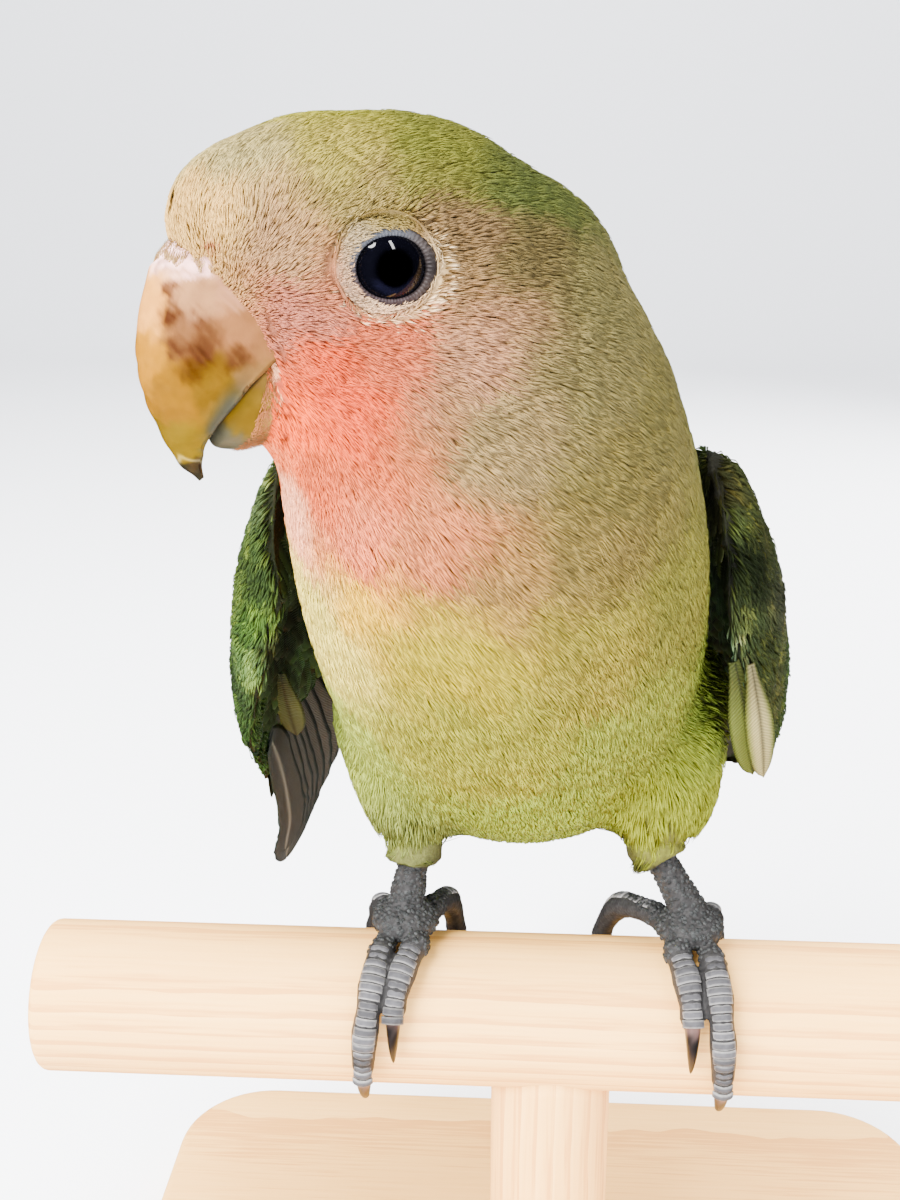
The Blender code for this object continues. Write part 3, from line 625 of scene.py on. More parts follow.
def makeCoat(skinPoints, skinFaces):
    tree = treeOf(skinPoints, skinFaces)
    thin = 1.0
    roots, ups = scatterRoots(skinPoints, skinFaces, coatGap, thin)
    keep = np.ones(len(roots), bool)
    for name in ("bill_upper", "bill_lower"):
        keep &= ~insideOf(name, roots, 0.25)
    inHead = toHead(roots)
    for side in (1, -1):
        keep &= np.linalg.norm(inHead - eyeCentre * (1, side, 1), axis=1) > eyeRadius + 0.05
    roots, ups = roots[keep], ups[keep]
    keep = ~underWing(roots, ups) | (luck.random(len(roots)) < coat["underWing"])
    roots, ups = roots[keep], ups[keep]
    ways, across, ahead, tone = clumpTurns(roots, ups, lieAt(roots, ups), coat)
    length = coatSize(roots, "length") * luck.uniform(0.8, 1.2, len(roots)) * (1 - 0.5 * across ** 2)
    width = coatSize(roots, "width") * luck.uniform(0.8, 1.2, len(roots)) * thin
    inHead = toHead(roots)
    for side in (1, -1):  # short feathers round the eyes
        away = np.linalg.norm(inHead - eyeCentre * (1, side, 1), axis=1)
        length *= mix(0.55, 1.0, ease(away, 4.0, 7.0))
    fromBill = coatPlan(roots)[0]
    deep = mix(0.25, 0.5, ease(fromBill, 8, 26))
    lift = deep * luck.uniform(0.75, 1.25, len(roots)) * mix(1.25, 0.9, np.clip(ahead + 0.5, 0, 1))
    points, sound = makeTufts(roots, ups, ways, length, width, lift, tree)
    points, roots = points[sound], roots[sound]
    spots = roots + ways[sound] * (length[sound] * 0.6)[:, None]
    colours = plumageAt(spots + luck.normal(0, 0.35, roots.shape))
    value = 1 + 0.08 * (tone[sound] - 0.5) + 0.12 * (luck.random(len(roots)) - 0.5)
    saveCoat(roots, points, colours * value[:, None])
    print("coat has", len(roots), "tufts")


coatPieces = {
    "coat_head_left": "face_plumage", "coat_head_right": "face_plumage", "coat_throat": "neck_plumage",
    "coat_nape": "neck_plumage", "coat_breast": "body_plumage", "coat_belly": "body_plumage",
    "coat_rump": "body_plumage",
}
mostTufts = 32000  # in one piece


def saveCoat(roots, points, colours):
    # Parts the coat into pieces, by where the roots are
    inHead = toHead(roots)
    onHead = (inHead[:, 2] > -9) & (np.linalg.norm(inHead, axis=1) < 27)
    left = inHead[:, 1] > 0
    low = roots[:, 2]
    front = roots[:, 1] < 0.45 * (60 - low) - 3
    part = np.where(onHead, np.where(left, 0, 1), np.where(front, 2, 3))
    part = np.where(~onHead & front & (low < 51), 4, part)
    part = np.where(~onHead & front & (low < 36), 5, part)
    part = np.where(~onHead & ~front & (low < 42), 6, part)
    unwrap = unwrapAt(roots)
    for index, (name, slot) in enumerate(coatPieces.items()):
        members = np.nonzero(part == index)[0]
        members = members[np.argsort(roots[members, 0] if index > 1 else roots[members, 2])]
        pieces = max(1, math.ceil(len(members) / mostTufts))
        for number, chosen in enumerate(np.array_split(members, pieces)):
            title = name if pieces == 1 else f"{name}_{number + 1}"
            savePiece(title, chosen, points, colours, fitted(unwrap[chosen]))


def savePiece(title, chosen, points, colours, spots):
    # One piece of the coat: the chosen tufts, each with its small patch of the baking map
    own = points[chosen].reshape(-1, 3)
    ownFaces = (spindle[None] + (np.arange(len(chosen)) * 5)[:, None, None]).reshape(-1, 3)
    ownAlong = np.tile(spindleAlong, (len(chosen), 1))
    sway = np.tile((0.0, -0.5, 0.5, 0.0, 0.0), (len(chosen), 1))
    patches = spots[:, None, :] + np.stack((sway, ownAlong - 0.5), axis=2) * bakePatch
    makePiece(title, own, [ownFaces], finishes["plumage"], numbers={"along": ownAlong.ravel()},
              colours=np.repeat(colours[chosen], 5, axis=0),
              patches=np.clip(patches, 0.001, 0.999).reshape(-1, 2))


# Finishes
finishes = {}


def makePlumageFinish():
    # Keratin barbs, grown loose and soft: matt, with a faint sheen, dark between and pale at the tips. The
    # dark is each tuft darkened towards its root: partly the feathers' own darker bases, partly painted
    # shade where the tufts above cover it
    finish, tree, shader = newFinish("softFeatherBarbs", {"Roughness": 0.8, "Specular IOR Level": 0.06})
    marking = node(tree, "Attribute", attribute_name="marking")
    along = node(tree, "Attribute", attribute_name="along")
    # Painted shade, in part: the ramp darkens each tuft towards its root, which the tufts above it cover
    shade = node(tree, "ValToRGB", {"Fac": along.outputs["Fac"]},
                 stops=((0.0, "#a0957c"), (0.5, "#d8cfba"), (0.8, "#ffffff")))
    tinted = node(tree, "Mix", {"Factor": 1.0, 6: marking.outputs["Color"], 7: shade.outputs["Color"]},
                  data_type="RGBA", blend_type="MULTIPLY")
    tree.links.new(tinted.outputs[2], shader.inputs["Base Color"])
    place = node(tree, "TexCoord")
    fluff = node(tree, "TexNoise", {"Vector": place.outputs["Object"], "Scale": 4500.0, "Detail": 2.0})
    bump = node(tree, "Bump", {"Height": fluff.outputs["Fac"], "Strength": 0.25, "Distance": 0.00008})
    tree.links.new(bump.outputs["Normal"], shader.inputs["Normal"])
    finishes["plumage"] = finish


def makeSkinFinish():
    # Down and feather roots over skin: the coat's colours, duller and darker, seen only in gaps
    finish, tree, shader = newFinish("downySkin", {"Roughness": 0.85})
    marking = node(tree, "Attribute", attribute_name="marking")
    place = node(tree, "TexCoord")
    fluff = node(tree, "TexNoise", {"Vector": place.outputs["Object"], "Scale": 2600.0, "Detail": 3.0})
    shade = node(tree, "ValToRGB", {"Fac": fluff.outputs["Fac"]}, stops=((0.3, "#a89d84"), (0.7, "#d6cdb6")))
    tinted = node(tree, "Mix", {"Factor": 1.0, 6: marking.outputs["Color"], 7: shade.outputs["Color"]},
                  data_type="RGBA", blend_type="MULTIPLY")
    tree.links.new(tinted.outputs[2], shader.inputs["Base Color"])
    bump = node(tree, "Bump", {"Height": fluff.outputs["Fac"], "Strength": 0.5, "Distance": 0.0003})
    tree.links.new(bump.outputs["Normal"], shader.inputs["Normal"])
    finishes["skin"] = finish


def alongRows(rows, steps):  # a smooth curve through rows of numbers, at fractional row counts
    rows = np.asarray(rows, float)
    steps = np.clip(np.asarray(steps, float), 0, len(rows) - 1)
    low = np.clip(np.floor(steps).astype(int), 0, len(rows) - 2)
    part = (steps - low)[..., None]
    before, start = rows[np.maximum(low - 1, 0)], rows[low]
    end, after = rows[low + 1], rows[np.minimum(low + 2, len(rows) - 1)]
    slopeIn, slopeOut = (end - before) / 2, (after - start) / 2
    squared, cubed = part ** 2, part ** 3
    return ((2 * cubed - 3 * squared + 1) * start + (cubed - 2 * squared + part) * slopeIn
            + (3 * squared - 2 * cubed) * end + (cubed - squared) * slopeOut)


def loftFaces(rows, columns, start=0):  # the quads between rings of points
    across = np.arange(columns)
    ring = np.arange(rows - 1)[:, None] * columns + start
    beyond = (across + 1) % columns
    corners = (ring + across, ring + beyond, ring + columns + beyond, ring + columns + across)
    return np.stack(corners, axis=2).reshape(-1, 4)


def loftCaps(rows, columns, start=0):
    first = start + np.arange(columns)[::-1]
    last = start + (rows - 1) * columns + np.arange(columns)
    return np.stack((first, last))


def lofted(rings):  # rings of points, running round the way they go on: one closed solid
    rings = np.asarray(rings, float)
    rows, columns = rings.shape[:2]
    return rings.reshape(-1, 3), [loftFaces(rows, columns), loftCaps(rows, columns)]


def closedRings(rings):  # (solids, rows, points round) grids, each one a closed solid
    count, rows, ringSize = rings.shape[:3]
    starts = (np.arange(count) * rows * ringSize)[:, None, None]
    quads = (loftFaces(rows, ringSize)[None] + starts).reshape(-1, 4)
    caps = (loftCaps(rows, ringSize)[None] + starts).reshape(-1, ringSize)
    return rings.reshape(-1, 3), [quads, caps]


def joined(solids):  # several (points, faces by size) solids in one
    points, bySize, count = [], {}, 0
    for own, faces in solids:
        for some in faces:
            bySize.setdefault(np.shape(some)[1], []).append(np.asarray(some) + count)
        points.append(own)
        count += len(own)
    return np.concatenate(points), [np.concatenate(some) for some in bySize.values()]


# Vaned feathers: thin closed blades with a shaft, laid as (feathers, rows, columns) grids of points
vane = {
    "columns": 13,  # odd, so that one runs down the shaft
    "thick": 0.14,
    "shaft": 0.10,  # how far the shaft stands out
    "barbSlant": 1.1,  # how far back a barb starts for each mm that its tip is out from the shaft
    "undersideShade": 0.8,
}


def vaneOutline(rows, blunt=0.30, neck=0.16):
    # Half width along a feather, from 0 to 1 of its widest, with more rows near the tip
    part = 1 - (1 - np.linspace(0, 1, rows)) ** 1.5
    round_ = np.sqrt(np.clip(1 - ((part - 1 + blunt) / blunt).clip(0, 1) ** 2, 0.0, 1))
    return part, np.maximum(np.minimum(ease(part, -0.10, neck) * 0.75 + 0.25, 1) * round_, 0.05)


def vaneSolids(top, ups, part, across):
    # Closes each blade: a top grid, a bottom grid under it, and a raised shaft
    shaft = vane["shaft"] * np.exp(-(across / 0.16) ** 2) * (1.15 - part)[None, :, None]
    thick = vane["thick"] * (1 - 0.75 * across ** 6)
    upper = top + ups * shaft[..., None]
    lower = top - ups * (thick + shaft * 1.6)[..., None]
    return closedRings(onRing(upper, lower))


def onRing(upper, lower):  # two grids in the order of the closed blades
    return np.concatenate((upper, lower[:, :, -2:0:-1]), axis=2)


def vanePiece(name, top, ups, half, length, part, across, colours, under, cells, stands=()):
    # colours and under are (feathers, rows, columns, 3) grids of sRGB; cells sorts them on the baking map
    points, faces = vaneSolids(top, ups, part, across)
    reach = across * half
    rows = np.broadcast_to(part[None, :, None], reach.shape)
    barb = rows * length[:, None, None] - vane["barbSlant"] * np.abs(reach)
    numbers = {"barb": barb, "along": rows, "across": reach}
    # On the baking map each feather has its own cell, its upper side on the left and its lower on the right
    size = 1 / math.ceil(math.sqrt(len(top) * 1.15) + 1)
    order = np.argsort(np.argsort(cells))
    perRow = int(1 / size)
    corner = np.stack((order % perRow, order // perRow), axis=1) * size
    spread = np.stack((across * 0.46 + 0.5 + 0 * reach, 0.04 + 0.92 * rows), axis=3) * (0.46, 0.92)
    patches = corner[:, None, None, :] + onRing(spread, spread + (0.5, 0)) * size
    return makePiece(name, points, faces, finishes["vane"], colours=onRing(colours, under),
                     numbers={key: onRing(values, values).ravel() for key, values in numbers.items()},
                     patches=patches.reshape(-1, 2), stands=stands)


def vaneShades(part, across, half, middle, edge, tip, spread=0.06):
    # Middle, edge and tip colours are (feathers, 3); the edge is a rim of a set width
    count = len(middle)
    rim = ease(np.abs(across) * np.ones_like(half), 0.45, 0.95)[..., None]
    near = ease(part, 0.72, 1.0)[None, :, None, None]
    shade = mix(middle[:, None, None, :], edge[:, None, None, :], rim)
    shade = mix(shade, tip[:, None, None, :], near * 0.8)
    shaft = np.exp(-(across / 0.10) ** 2)[..., None] * np.ones_like(shade)
    shade = shade * (1 - 0.45 * shaft)
    tone = 1 + spread * luck.normal(0, 1, (count, 1, 1, 1))
    # Painted shade: each feather is darkened towards its root, where the feathers over it shade it
    paintedRootShade = 0.62 + 0.38 * ease(part, 0.0, 0.5)[None, :, None, None]
    return shade * tone * paintedRootShade


# The wings, row by row from the wrist to the tip: centre, height way, half height, thickness, swell
wingRows = {
    "left": (
        (11.5, -1.0, 54.0, 0.0, 0.45, 1.0, 3.0, 2.0, 0.0),
        (14.3, 1.0, 49.4, -0.1, 0.50, 1.0, 8.5, 5.5, 1.2),
        (14.4, 5.0, 44.2, -0.25, 0.60, 1.0, 13.8, 6.5, 3.2),
        (13.5, 11.0, 39.4, -0.45, 0.70, 1.0, 17.5, 6.2, 5.2),
        (11.3, 20.0, 33.6, -0.72, 0.75, 1.0, 18.0, 5.2, 6.4),
        (8.4, 32.0, 25.8, -0.90, 0.75, 1.0, 15.5, 4.4, 5.8),
        (6.6, 45.0, 16.8, -0.90, 0.70, 1.0, 11.5, 3.6, 4.0),
        (4.6, 59.0, 7.4, -0.80, 0.70, 1.0, 7.5, 2.8, 1.8),
        (3.2, 72.0, -1.5, -0.60, 0.70, 1.0, 4.6, 2.2, 0.5),
        (2.4, 79.5, -6.5, -0.50, 0.70, 1.0, 1.5, 1.0, 0.0),
    ),
    "right": (
        (-22.0, -1.0, 54.0, 0.0, 0.35, 1.0, 3.0, 2.0, 0.0),
        (-24.8, 1.0, 50.0, 0.1, 0.50, 1.0, 8.5, 5.5, 1.2),
        (-25.2, 5.0, 44.8, 0.25, 0.60, 1.0, 13.8, 6.0, 2.8),
        (-24.2, 11.0, 38.6, 0.45, 0.70, 1.0, 16.5, 5.8, 4.8),
        (-23.6, 20.0, 30.4, 0.65, 0.70, 1.0, 15.5, 4.8, 5.2),
        (-26.2, 30.0, 18.8, 0.70, 0.60, 1.0, 12.0, 4.0, 3.6),
        (-29.6, 41.0, 5.4, 0.65, 0.50, 0.8, 8.5, 3.0, 1.4),
        (-33.6, 51.0, -5.6, 0.65, 0.40, 0.7, 5.0, 2.2, 0.4),
        (-37.0, 60.0, -15.5, 0.65, 0.40, 0.7, 1.6, 1.0, 0.0),
    ),
}
wingOutward = {"left": (1.0, 0.0, 0.0), "right": (-1.0, -0.1, 0.0)}
# Long feathers: place of the root along the wing's middle line and across it (1 is the upper edge), the same
# for the tip, half width in mm, and depth in the stack from the inner face (-1) to the outer one (1).
# Lengths are shares of the middle line, which is about 100 mm long.
longFeathers = {
    "primary": [(0.33, -0.80 + 0.07 * i, tip, -0.62 + 0.15 * i, 3.1 + 0.12 * i, -0.85 + 0.13 * i)
                for i, tip in enumerate((0.90, 0.965, 0.985, 0.955, 0.90, 0.84, 0.78, 0.72, 0.67, 0.62))],
    "secondary": [(0.30, -0.45 + 0.14 * i, 0.58 + 0.012 * i, -0.70 + 0.17 * i, 3.3, 0.30 + 0.07 * i)
                  for i in range(8)],
    "tertial": [(0.26, 0.42 + 0.15 * i, 0.57 - 0.035 * i, 0.50 + 0.14 * i, 3.2, 0.86 + 0.06 * i)
                for i in range(4)],
}
wingColours = {
    # middle, edge and tip of the upper side, then the under side
    "median": ("#223c18", "#35571f", "#425f25"),
    "greater": ("#1b3417", "#2c4d20", "#375524"),
    "primary": ("#161c17", "#163b33", "#131713", "#33332f"),
    "secondary": ("#182a16", "#22451f", "#182415", "#33332f"),
    "tertial": ("#203a18", "#2f5220", "#284520", "#33332f"),
}
underShaft = "#6a6453"
wings = {}
for side in ("left", "right"):
    rows = np.array(wingRows[side])
    steps = np.linspace(0, len(rows) - 1, 400)
    middles = alongRows(rows, steps)[:, :3]
    reach = np.concatenate(([0], np.cumsum(np.linalg.norm(np.diff(middles, axis=0), axis=1))))
    wings[side] = {"rows": rows, "steps": steps, "reach": reach, "length": reach[-1],
                   "outward": np.array(wingOutward[side]), "sign": -1 if side == "left" else 1}


def wingPlace(wing, reach, high, depth):
    # A place on the wing: mm along its middle line, -1 to 1 across it, -1 to 1 through it. Also the way out.
    row = alongRows(wing["rows"], np.interp(reach, wing["reach"], wing["steps"]))
    up = unit(row[..., 3:6])
    out = flat(wing["outward"], up)
    half, thick, swell = row[..., 6:7], row[..., 7:8], row[..., 8:9]
    high, depth = high[..., None], depth[..., None]
    bow = swell * (1 - high ** 2)
    rim = np.sqrt(np.clip(1 - high ** 2, 0.02, 1))
    place = row[..., :3] + up * half * high + out * (bow + thick * 0.5 * rim * depth)
    normal = unit(out * half + up * 2 * swell * high)
    return place, normal, half[..., 0]


def layLongFeathers(side):
    wing = wings[side]
    columns = np.linspace(-1, 1, vane["columns"])[None, None, :]
    rows = 26
    for kind, feathers in longFeathers.items():
        part, outline = vaneOutline(rows, 0.16 if kind == "primary" else 0.24)
        count = len(feathers)
        root, rootHigh, tip, tipHigh, width, depth = np.array(feathers).T
        reach = (root[:, None] + (tip - root)[:, None] * part[None, :]) * wing["length"]
        high = rootHigh[:, None] + (tipHigh - rootHigh)[:, None] * ease(part, -0.2, 1.0)[None, :]
        half = width[:, None] * outline[None, :] * (1 + 0.03 * luck.normal(0, 1, (count, rows)))
        half = half[:, :, None] * np.where(columns * wing["sign"] < 0, 0.8, 1.1)  # narrower outer web
        depthHere = np.broadcast_to(depth[:, None, None], (count, rows, vane["columns"]))
        reachHere = np.broadcast_to(reach[:, :, None], depthHere.shape)
        spread = wingPlace(wing, reach, high, depth[:, None] + 0 * reach)[2]
        highHere = high[:, :, None] + wing["sign"] * columns * half / spread[:, :, None]
        top, ups, spread = wingPlace(wing, reachHere, np.clip(highHere, -1.25, 1.25), depthHere)
        top = top + ups * (0.25 * (1 - columns ** 2) * part[None, :, None])[..., None]
        colours = [np.tile(fromHex(code), (count, 1)) for code in wingColours[kind]]
        shades = vaneShades(part, columns, half, *colours[:3])
        if kind == "primary":  # only the outer web is coloured
            outerWeb = (ease(-wing["sign"] * columns, 0.05, 0.3) * np.ones_like(half))[..., None]
            shades = mix(mix(shades, colours[0][:, None, None, :], 0.85), shades, outerWeb)
        under = np.broadcast_to(colours[3][:, None, None, :], shades.shape)
        under = under * (1 + 0.05 * luck.normal(0, 1, (count, 1, 1, 1)))
        paleShaft = np.exp(-(columns / 0.09) ** 2)[..., None] * np.ones_like(under)
        under = mix(under, fromHex(underShaft), 0.8 * paleShaft)
        length = (tip - root) * wing["length"]
        vanePiece(f"{kind}_feathers_{side}", top, ups, half, length, part, columns,
                  shades, under, root + rootHigh,
                  stands=(f"flight_feathers_{side}",) if kind == "primary" else ())


def layVanesOn(tree, roots, ups, ways, length, width, lifts):
    # Lays short vanes on a surface, each row and column of them settled on it
    part, outline = vaneOutline(7, 0.45, 0.1)
    across = np.linspace(-1, 1, 7)[None, None, :]
    half = width[:, None, None] * 0.5 * outline[None, :, None] * np.ones_like(across)
    half = half * (1 + 0.035 * luck.normal(0, 1, half.shape))
    side = unit(np.cross(ways, ups))
    places = (roots[:, None, None] + ways[:, None, None] * (length[:, None] * part)[:, :, None, None]
              + side[:, None, None] * (across * half)[..., None])
    onto, out = settle(tree, places.reshape(-1, 3))
    onto, out = onto.reshape(places.shape), out.reshape(places.shape)
    out = unit(out + out.mean((1, 2), keepdims=True) * 1.5)
    bow = 0.16 * (1 - across ** 2) * width[:, None, None] * 0.2
    rise = mix(lifts[0], lifts[1], part)[None, :, None] + bow
    return onto + out * rise[..., None], out, half, part, across


coverts = {
    # spacing in mm, length, width, and lift at root and tip; where the rows lie, in mm along the wing's
    # middle line, and how far across it they reach
    "median": {"gap": 3.4, "length": 9.0, "width": 5.0, "lift": (-0.10, 0.65),
               "along": (16.0, 25.0), "across": (-0.9, 0.9)},
    "greater": {"gap": 4.2, "length": 17.0, "width": 5.2, "lift": (0.10, 0.80),
                "along": (25.0, 33.0), "across": (-0.82, 0.8)},
    "lining": {"gap": 2.3, "length": 5.6, "width": 3.4, "lift": (-0.25, 0.35)},
}


def wingGrid(wing, kind):
    # Staggered roots over part of the outer face of the wing
    gap = coverts[kind]["gap"]
    low, high = coverts[kind]["across"]
    rows = []
    for number, reach in enumerate(np.arange(*coverts[kind]["along"], gap)):
        half = wingPlace(wing, np.array([reach]), np.array([0.0]), np.array([0.0]))[2][0]
        count = max(2, int(round((high - low) * half * 1.15 / (gap * 0.92))))
        spots = np.linspace(low, high, count) + (0.5 * (high - low) / count if number % 2 else 0)
        rows += [(reach + luck.normal(0, gap * 0.08), spot + luck.normal(0, 0.02))
                 for spot in spots if spot <= high + 0.02]
    rows = np.array(rows)
    place = wingPlace(wing, rows[:, 0], rows[:, 1], np.ones(len(rows)))[0]
    ahead = wingPlace(wing, rows[:, 0] + 2, rows[:, 1] * 0.99, np.ones(len(rows)))[0]
    return place, unit(ahead - place)


def wingReach(wing, points):  # mm along the wing's middle line, place across it, and the way the line goes
    samples = alongRows(wing["rows"], wing["steps"])
    line = samples[:, :3]
    nearest = np.linalg.norm(points[:, None] - line[None], axis=2).argmin(1)
    way = unit(np.gradient(line, axis=0))[nearest]
    high = dot(points - line[nearest], unit(samples[:, 3:6])[nearest])[:, 0] / samples[nearest, 6]
    return wing["reach"][nearest], high, way


def layCoverts(side, kind, tree, roots, ups, ways):
    size = coverts[kind]
    length = size["length"] * luck.uniform(0.88, 1.12, len(roots))
    width = size["width"] * luck.uniform(0.9, 1.1, len(roots))
    top, out, half, part, across = layVanesOn(tree, roots, ups, flat(ways, ups), length, width, size["lift"])
    reach, high = wingReach(wings[side], roots)[:2]
    if kind == "lining":
        plain = covertShade(kind, "", roots)
        colours = [plain, plain * 1.15, plain * 1.3]
    else:
        colours = [covertShade(kind, code, roots) for code in wingColours[kind]]
    shades = vaneShades(part, across, half, *colours)
    vanePiece(f"{kind}_coverts_{side}", top, out, half, length, part, across,
              shades, shades * vane["undersideShade"], reach * 10 + high)


# Wing colours where the photo shows them: places in mm from the middle of the perch, reach and colour
wingZones = {
    "leftTop": ((13.8, 1.0, 53.0), 4.0, "#272714"),
    # leftUpperIn and leftTeal lie on the wing's inner side, which the lamps leave in shade: they are set
    # lighter, partly their own olive and teal, partly painted light
    "leftUpperIn": ((13.5, 0.9, 50.6), 4.0, "#3f4a24"),
    "leftCentre": ((16.1, -1.2, 47.5), 5.0, "#101609"),
    "leftRimHigh": ((18.6, 1.5, 50.0), 4.0, "#2c2e16"),
    "leftRim": ((20.6, 3.1, 42.5), 5.0, "#313324"),
    "leftDark": ((14.8, -2.0, 43.0), 3.5, "#2c341d"),
    "leftTeal": ((14.4, -1.6, 38.8), 3.5, "#42594c"),
    "leftLow": ((18.4, -1.5, 39.0), 4.5, "#242a14"),
    "leftRimLow": ((20.2, 0.8, 34.5), 4.5, "#33371e"),
    "leftBack": ((19.0, 20.0, 36.0), 16.0, "#263f1c"),
    "rightTop": ((-28.1, 1.8, 52.6), 4.0, "#475534"),
    "rightRim": ((-30.6, 2.2, 42.7), 4.5, "#3e4d20"),
    "rightIn": ((-27.2, -1.5, 46.9), 3.5, "#2d3c1e"),
    "rightMid": ((-29.2, 0.2, 47.8), 3.5, "#35441d"),
    "rightMidLow": ((-29.4, -0.8, 40.5), 4.0, "#344d1e"),
    "rightLow": ((-28.6, -1.4, 37.2), 3.5, "#3e532e"),
    "rightDark": ((-26.2, -2.0, 38.0), 3.5, "#222618"),
    "rightInner": ((-24.0, 10.0, 36.0), 7.0, "#15180f"),
    "rightPale": ((-28.6, 17.5, 26.5), 4.0, "#3a4120"),
    "rightBack": ((-32.0, 20.0, 34.0), 14.0, "#263f1c"),
}


def wingShade(points):
    return zoneBlend(points, zoneArrays(wingZones.values()), 2)


def covertShade(kind, code, roots):
    base = wingShade(roots) * 0.9 if kind == "lining" else fromHex(code)
    return base * (1 + 0.10 * luck.normal(0, 1, (len(roots), 1)))


wingDown = {
    # the soft lesser coverts: gap between tufts, their length, width and lift, all in mm
    "gap": 0.27, "length": 2.7, "width": 0.25, "lift": 0.42,
    "clump": 2.1, "fan": 26.0, "wander": 8.0,  # as in the coat
    "top": 55.8,  # above this the body's own feathers cover the wing
    "streak": ((14.5, -2.5, 45.1), (16.9, -2.1, 37.6)), "streakColour": "#8a8a58",
}


def makeWingDown(side, tree, points, faces):
    # Short soft feathers over the front of the wing and along its rims
    wing = wings[side]
    thin = 1.0
    roots, ups = scatterRoots(points, faces, wingDown["gap"], thin)
    reach, high, ways = wingReach(wing, roots)
    outer = dot(ups, wing["outward"])[:, 0]
    rim = np.abs(high) + 0.10 * ripple(roots, 6.0)[:, 0]
    edge = 20 + 2.0 * ripple(roots, 7.0)[:, 1]
    keep = (roots[:, 2] < wingDown["top"]) & (reach < 46) & ((reach < edge) | (rim > 0.86))
    keep &= (outer > -0.9) | (rim > 0.8)
    roots, ups, ways, reach, high = roots[keep], ups[keep], ways[keep], reach[keep], high[keep]
    ways, across, ahead, tone = clumpTurns(roots, ups, flat(ways, ups), wingDown)
    count = len(roots)
    length = wingDown["length"] * luck.uniform(0.8, 1.2, count) * (1 - 0.5 * across ** 2)
    width = wingDown["width"] * luck.uniform(0.8, 1.2, count) * thin
    lift = wingDown["lift"] * luck.uniform(0.7, 1.3, count) * mix(1.3, 0.8, np.clip(ahead + 0.5, 0, 1))
    tufts, sound = makeTufts(roots, ups, ways, length, width, lift, tree)
    colours = wingShade(roots + ways + luck.normal(0, 0.3, roots.shape))
    # Each feather has a darker middle, and a yellower rim
    pale = ease(np.abs(across) + np.clip(ahead, 0, 1) + 0.5 * (tone - 0.5), 0.15, 0.75)[:, None]
    colours = colours * mix(np.array((0.80, 0.84, 0.80)), np.array((1.28, 1.20, 1.0)), pale)
    colours = colours * (1 + 0.24 * (tone - 0.5) + 0.12 * (luck.random(count) - 0.5))[:, None]
    if side == "left":  # a broken line of pale feather tips
        start, end = np.array(wingDown["streak"])
        part = np.clip(dot(roots - start, unit(end - start))[:, 0] / np.linalg.norm(end - start), 0, 1)
        away = np.linalg.norm(roots - (start + (end - start) * part[:, None]), axis=1)
        streak = (1 - ease(away, 0.35, 0.85)) * ease(np.sin(part * 19.0), -0.4, 0.6)
        colours = mix(colours, fromHex(wingDown["streakColour"]), 0.8 * streak[:, None])
    spots = fitted(np.stack((np.arctan2(outer[keep], high), reach), axis=1))
    savePiece(f"wing_down_{side}", np.nonzero(sound)[0], tufts, colours, spots[sound])


paleFeathers = {
    # root, tip, width in mm, middle and edge colours; they hang free over the front of the wing
    "left": (
        ((15.5, -2.3, 38.4), (18.8, 4.3, 24.5), 3.4, "#3f4618", "#454c1e"),
        ((16.9, -2.8, 38.4), (19.8, 3.9, 24.4), 2.8, "#756c46", "#4a501e"),
    ),
    "right": (
        ((-28.1, 11.0, 31.3), (-28.8, 23.5, 19.3), 3.0, "#3a3f24", "#434920"),
    ),
}


def layPaleFeathers(side):
    rows = paleFeathers[side]
    roots = np.array([row[0] for row in rows])
    reach = np.array([row[1] for row in rows]) - roots
    length = np.linalg.norm(reach, axis=1)
    ways = unit(reach)
    ups = flat(np.array((0.1, -0.95, 0.31)), ways)
    part, outline = vaneOutline(14, 0.45, 0.5)
    across = np.linspace(-1, 1, 9)[None, None, :]
    widths = np.array([row[2] for row in rows])
    half = widths[:, None, None] * 0.5 * outline[None, :, None] * np.ones_like(across)
    top = (roots[:, None, None] + ways[:, None, None] * (length[:, None] * part)[:, :, None, None]
           + np.cross(ways, ups)[:, None, None] * (across * half)[..., None])
    bow = 0.8 * np.sin(part * math.pi)[None, :, None] + 0.35 * (1 - across ** 2)
    top = top + ups[:, None, None] * bow[..., None]
    middle, edge = (np.array([fromHex(row[column]) for row in rows]) for column in (3, 4))
    shades = vaneShades(part, across, half, middle, edge, middle, 0.0)
    vanePiece(f"pale_feathers_{side}", top, np.broadcast_to(ups[:, None, None], top.shape),
              half, length, part, across, shades, shades * vane["undersideShade"], np.arange(len(rows)))


def makeWing(side):
    wing = wings[side]
    points, faces = grownTogether((f"wing_{side}",), 0.0, skinMake["wingVoxel"], skinMake["wingSmoothing"])
    points = points - pointNormals(points, faces) * skinMake["wingDepth"]
    tree = treeOf(points, faces)
    layLongFeathers(side)
    for kind in ("greater", "median"):
        places, ways = wingGrid(wing, kind)
        roots, ups = settle(tree, places)
        layCoverts(side, kind, tree, roots, ups, ways)
    roots, ups = scatterRoots(points, faces, coverts["lining"]["gap"])
    reach, ways = wingReach(wing, roots)[::2]
    keep = (dot(ups, wing["outward"])[:, 0] < -0.2) & (reach < 43)
    layCoverts(side, "lining", tree, roots[keep], ups[keep], ways[keep])
    makeWingDown(side, tree, points, faces)
    layPaleFeathers(side)
    print("wing", side, "laid")
    return points, faces


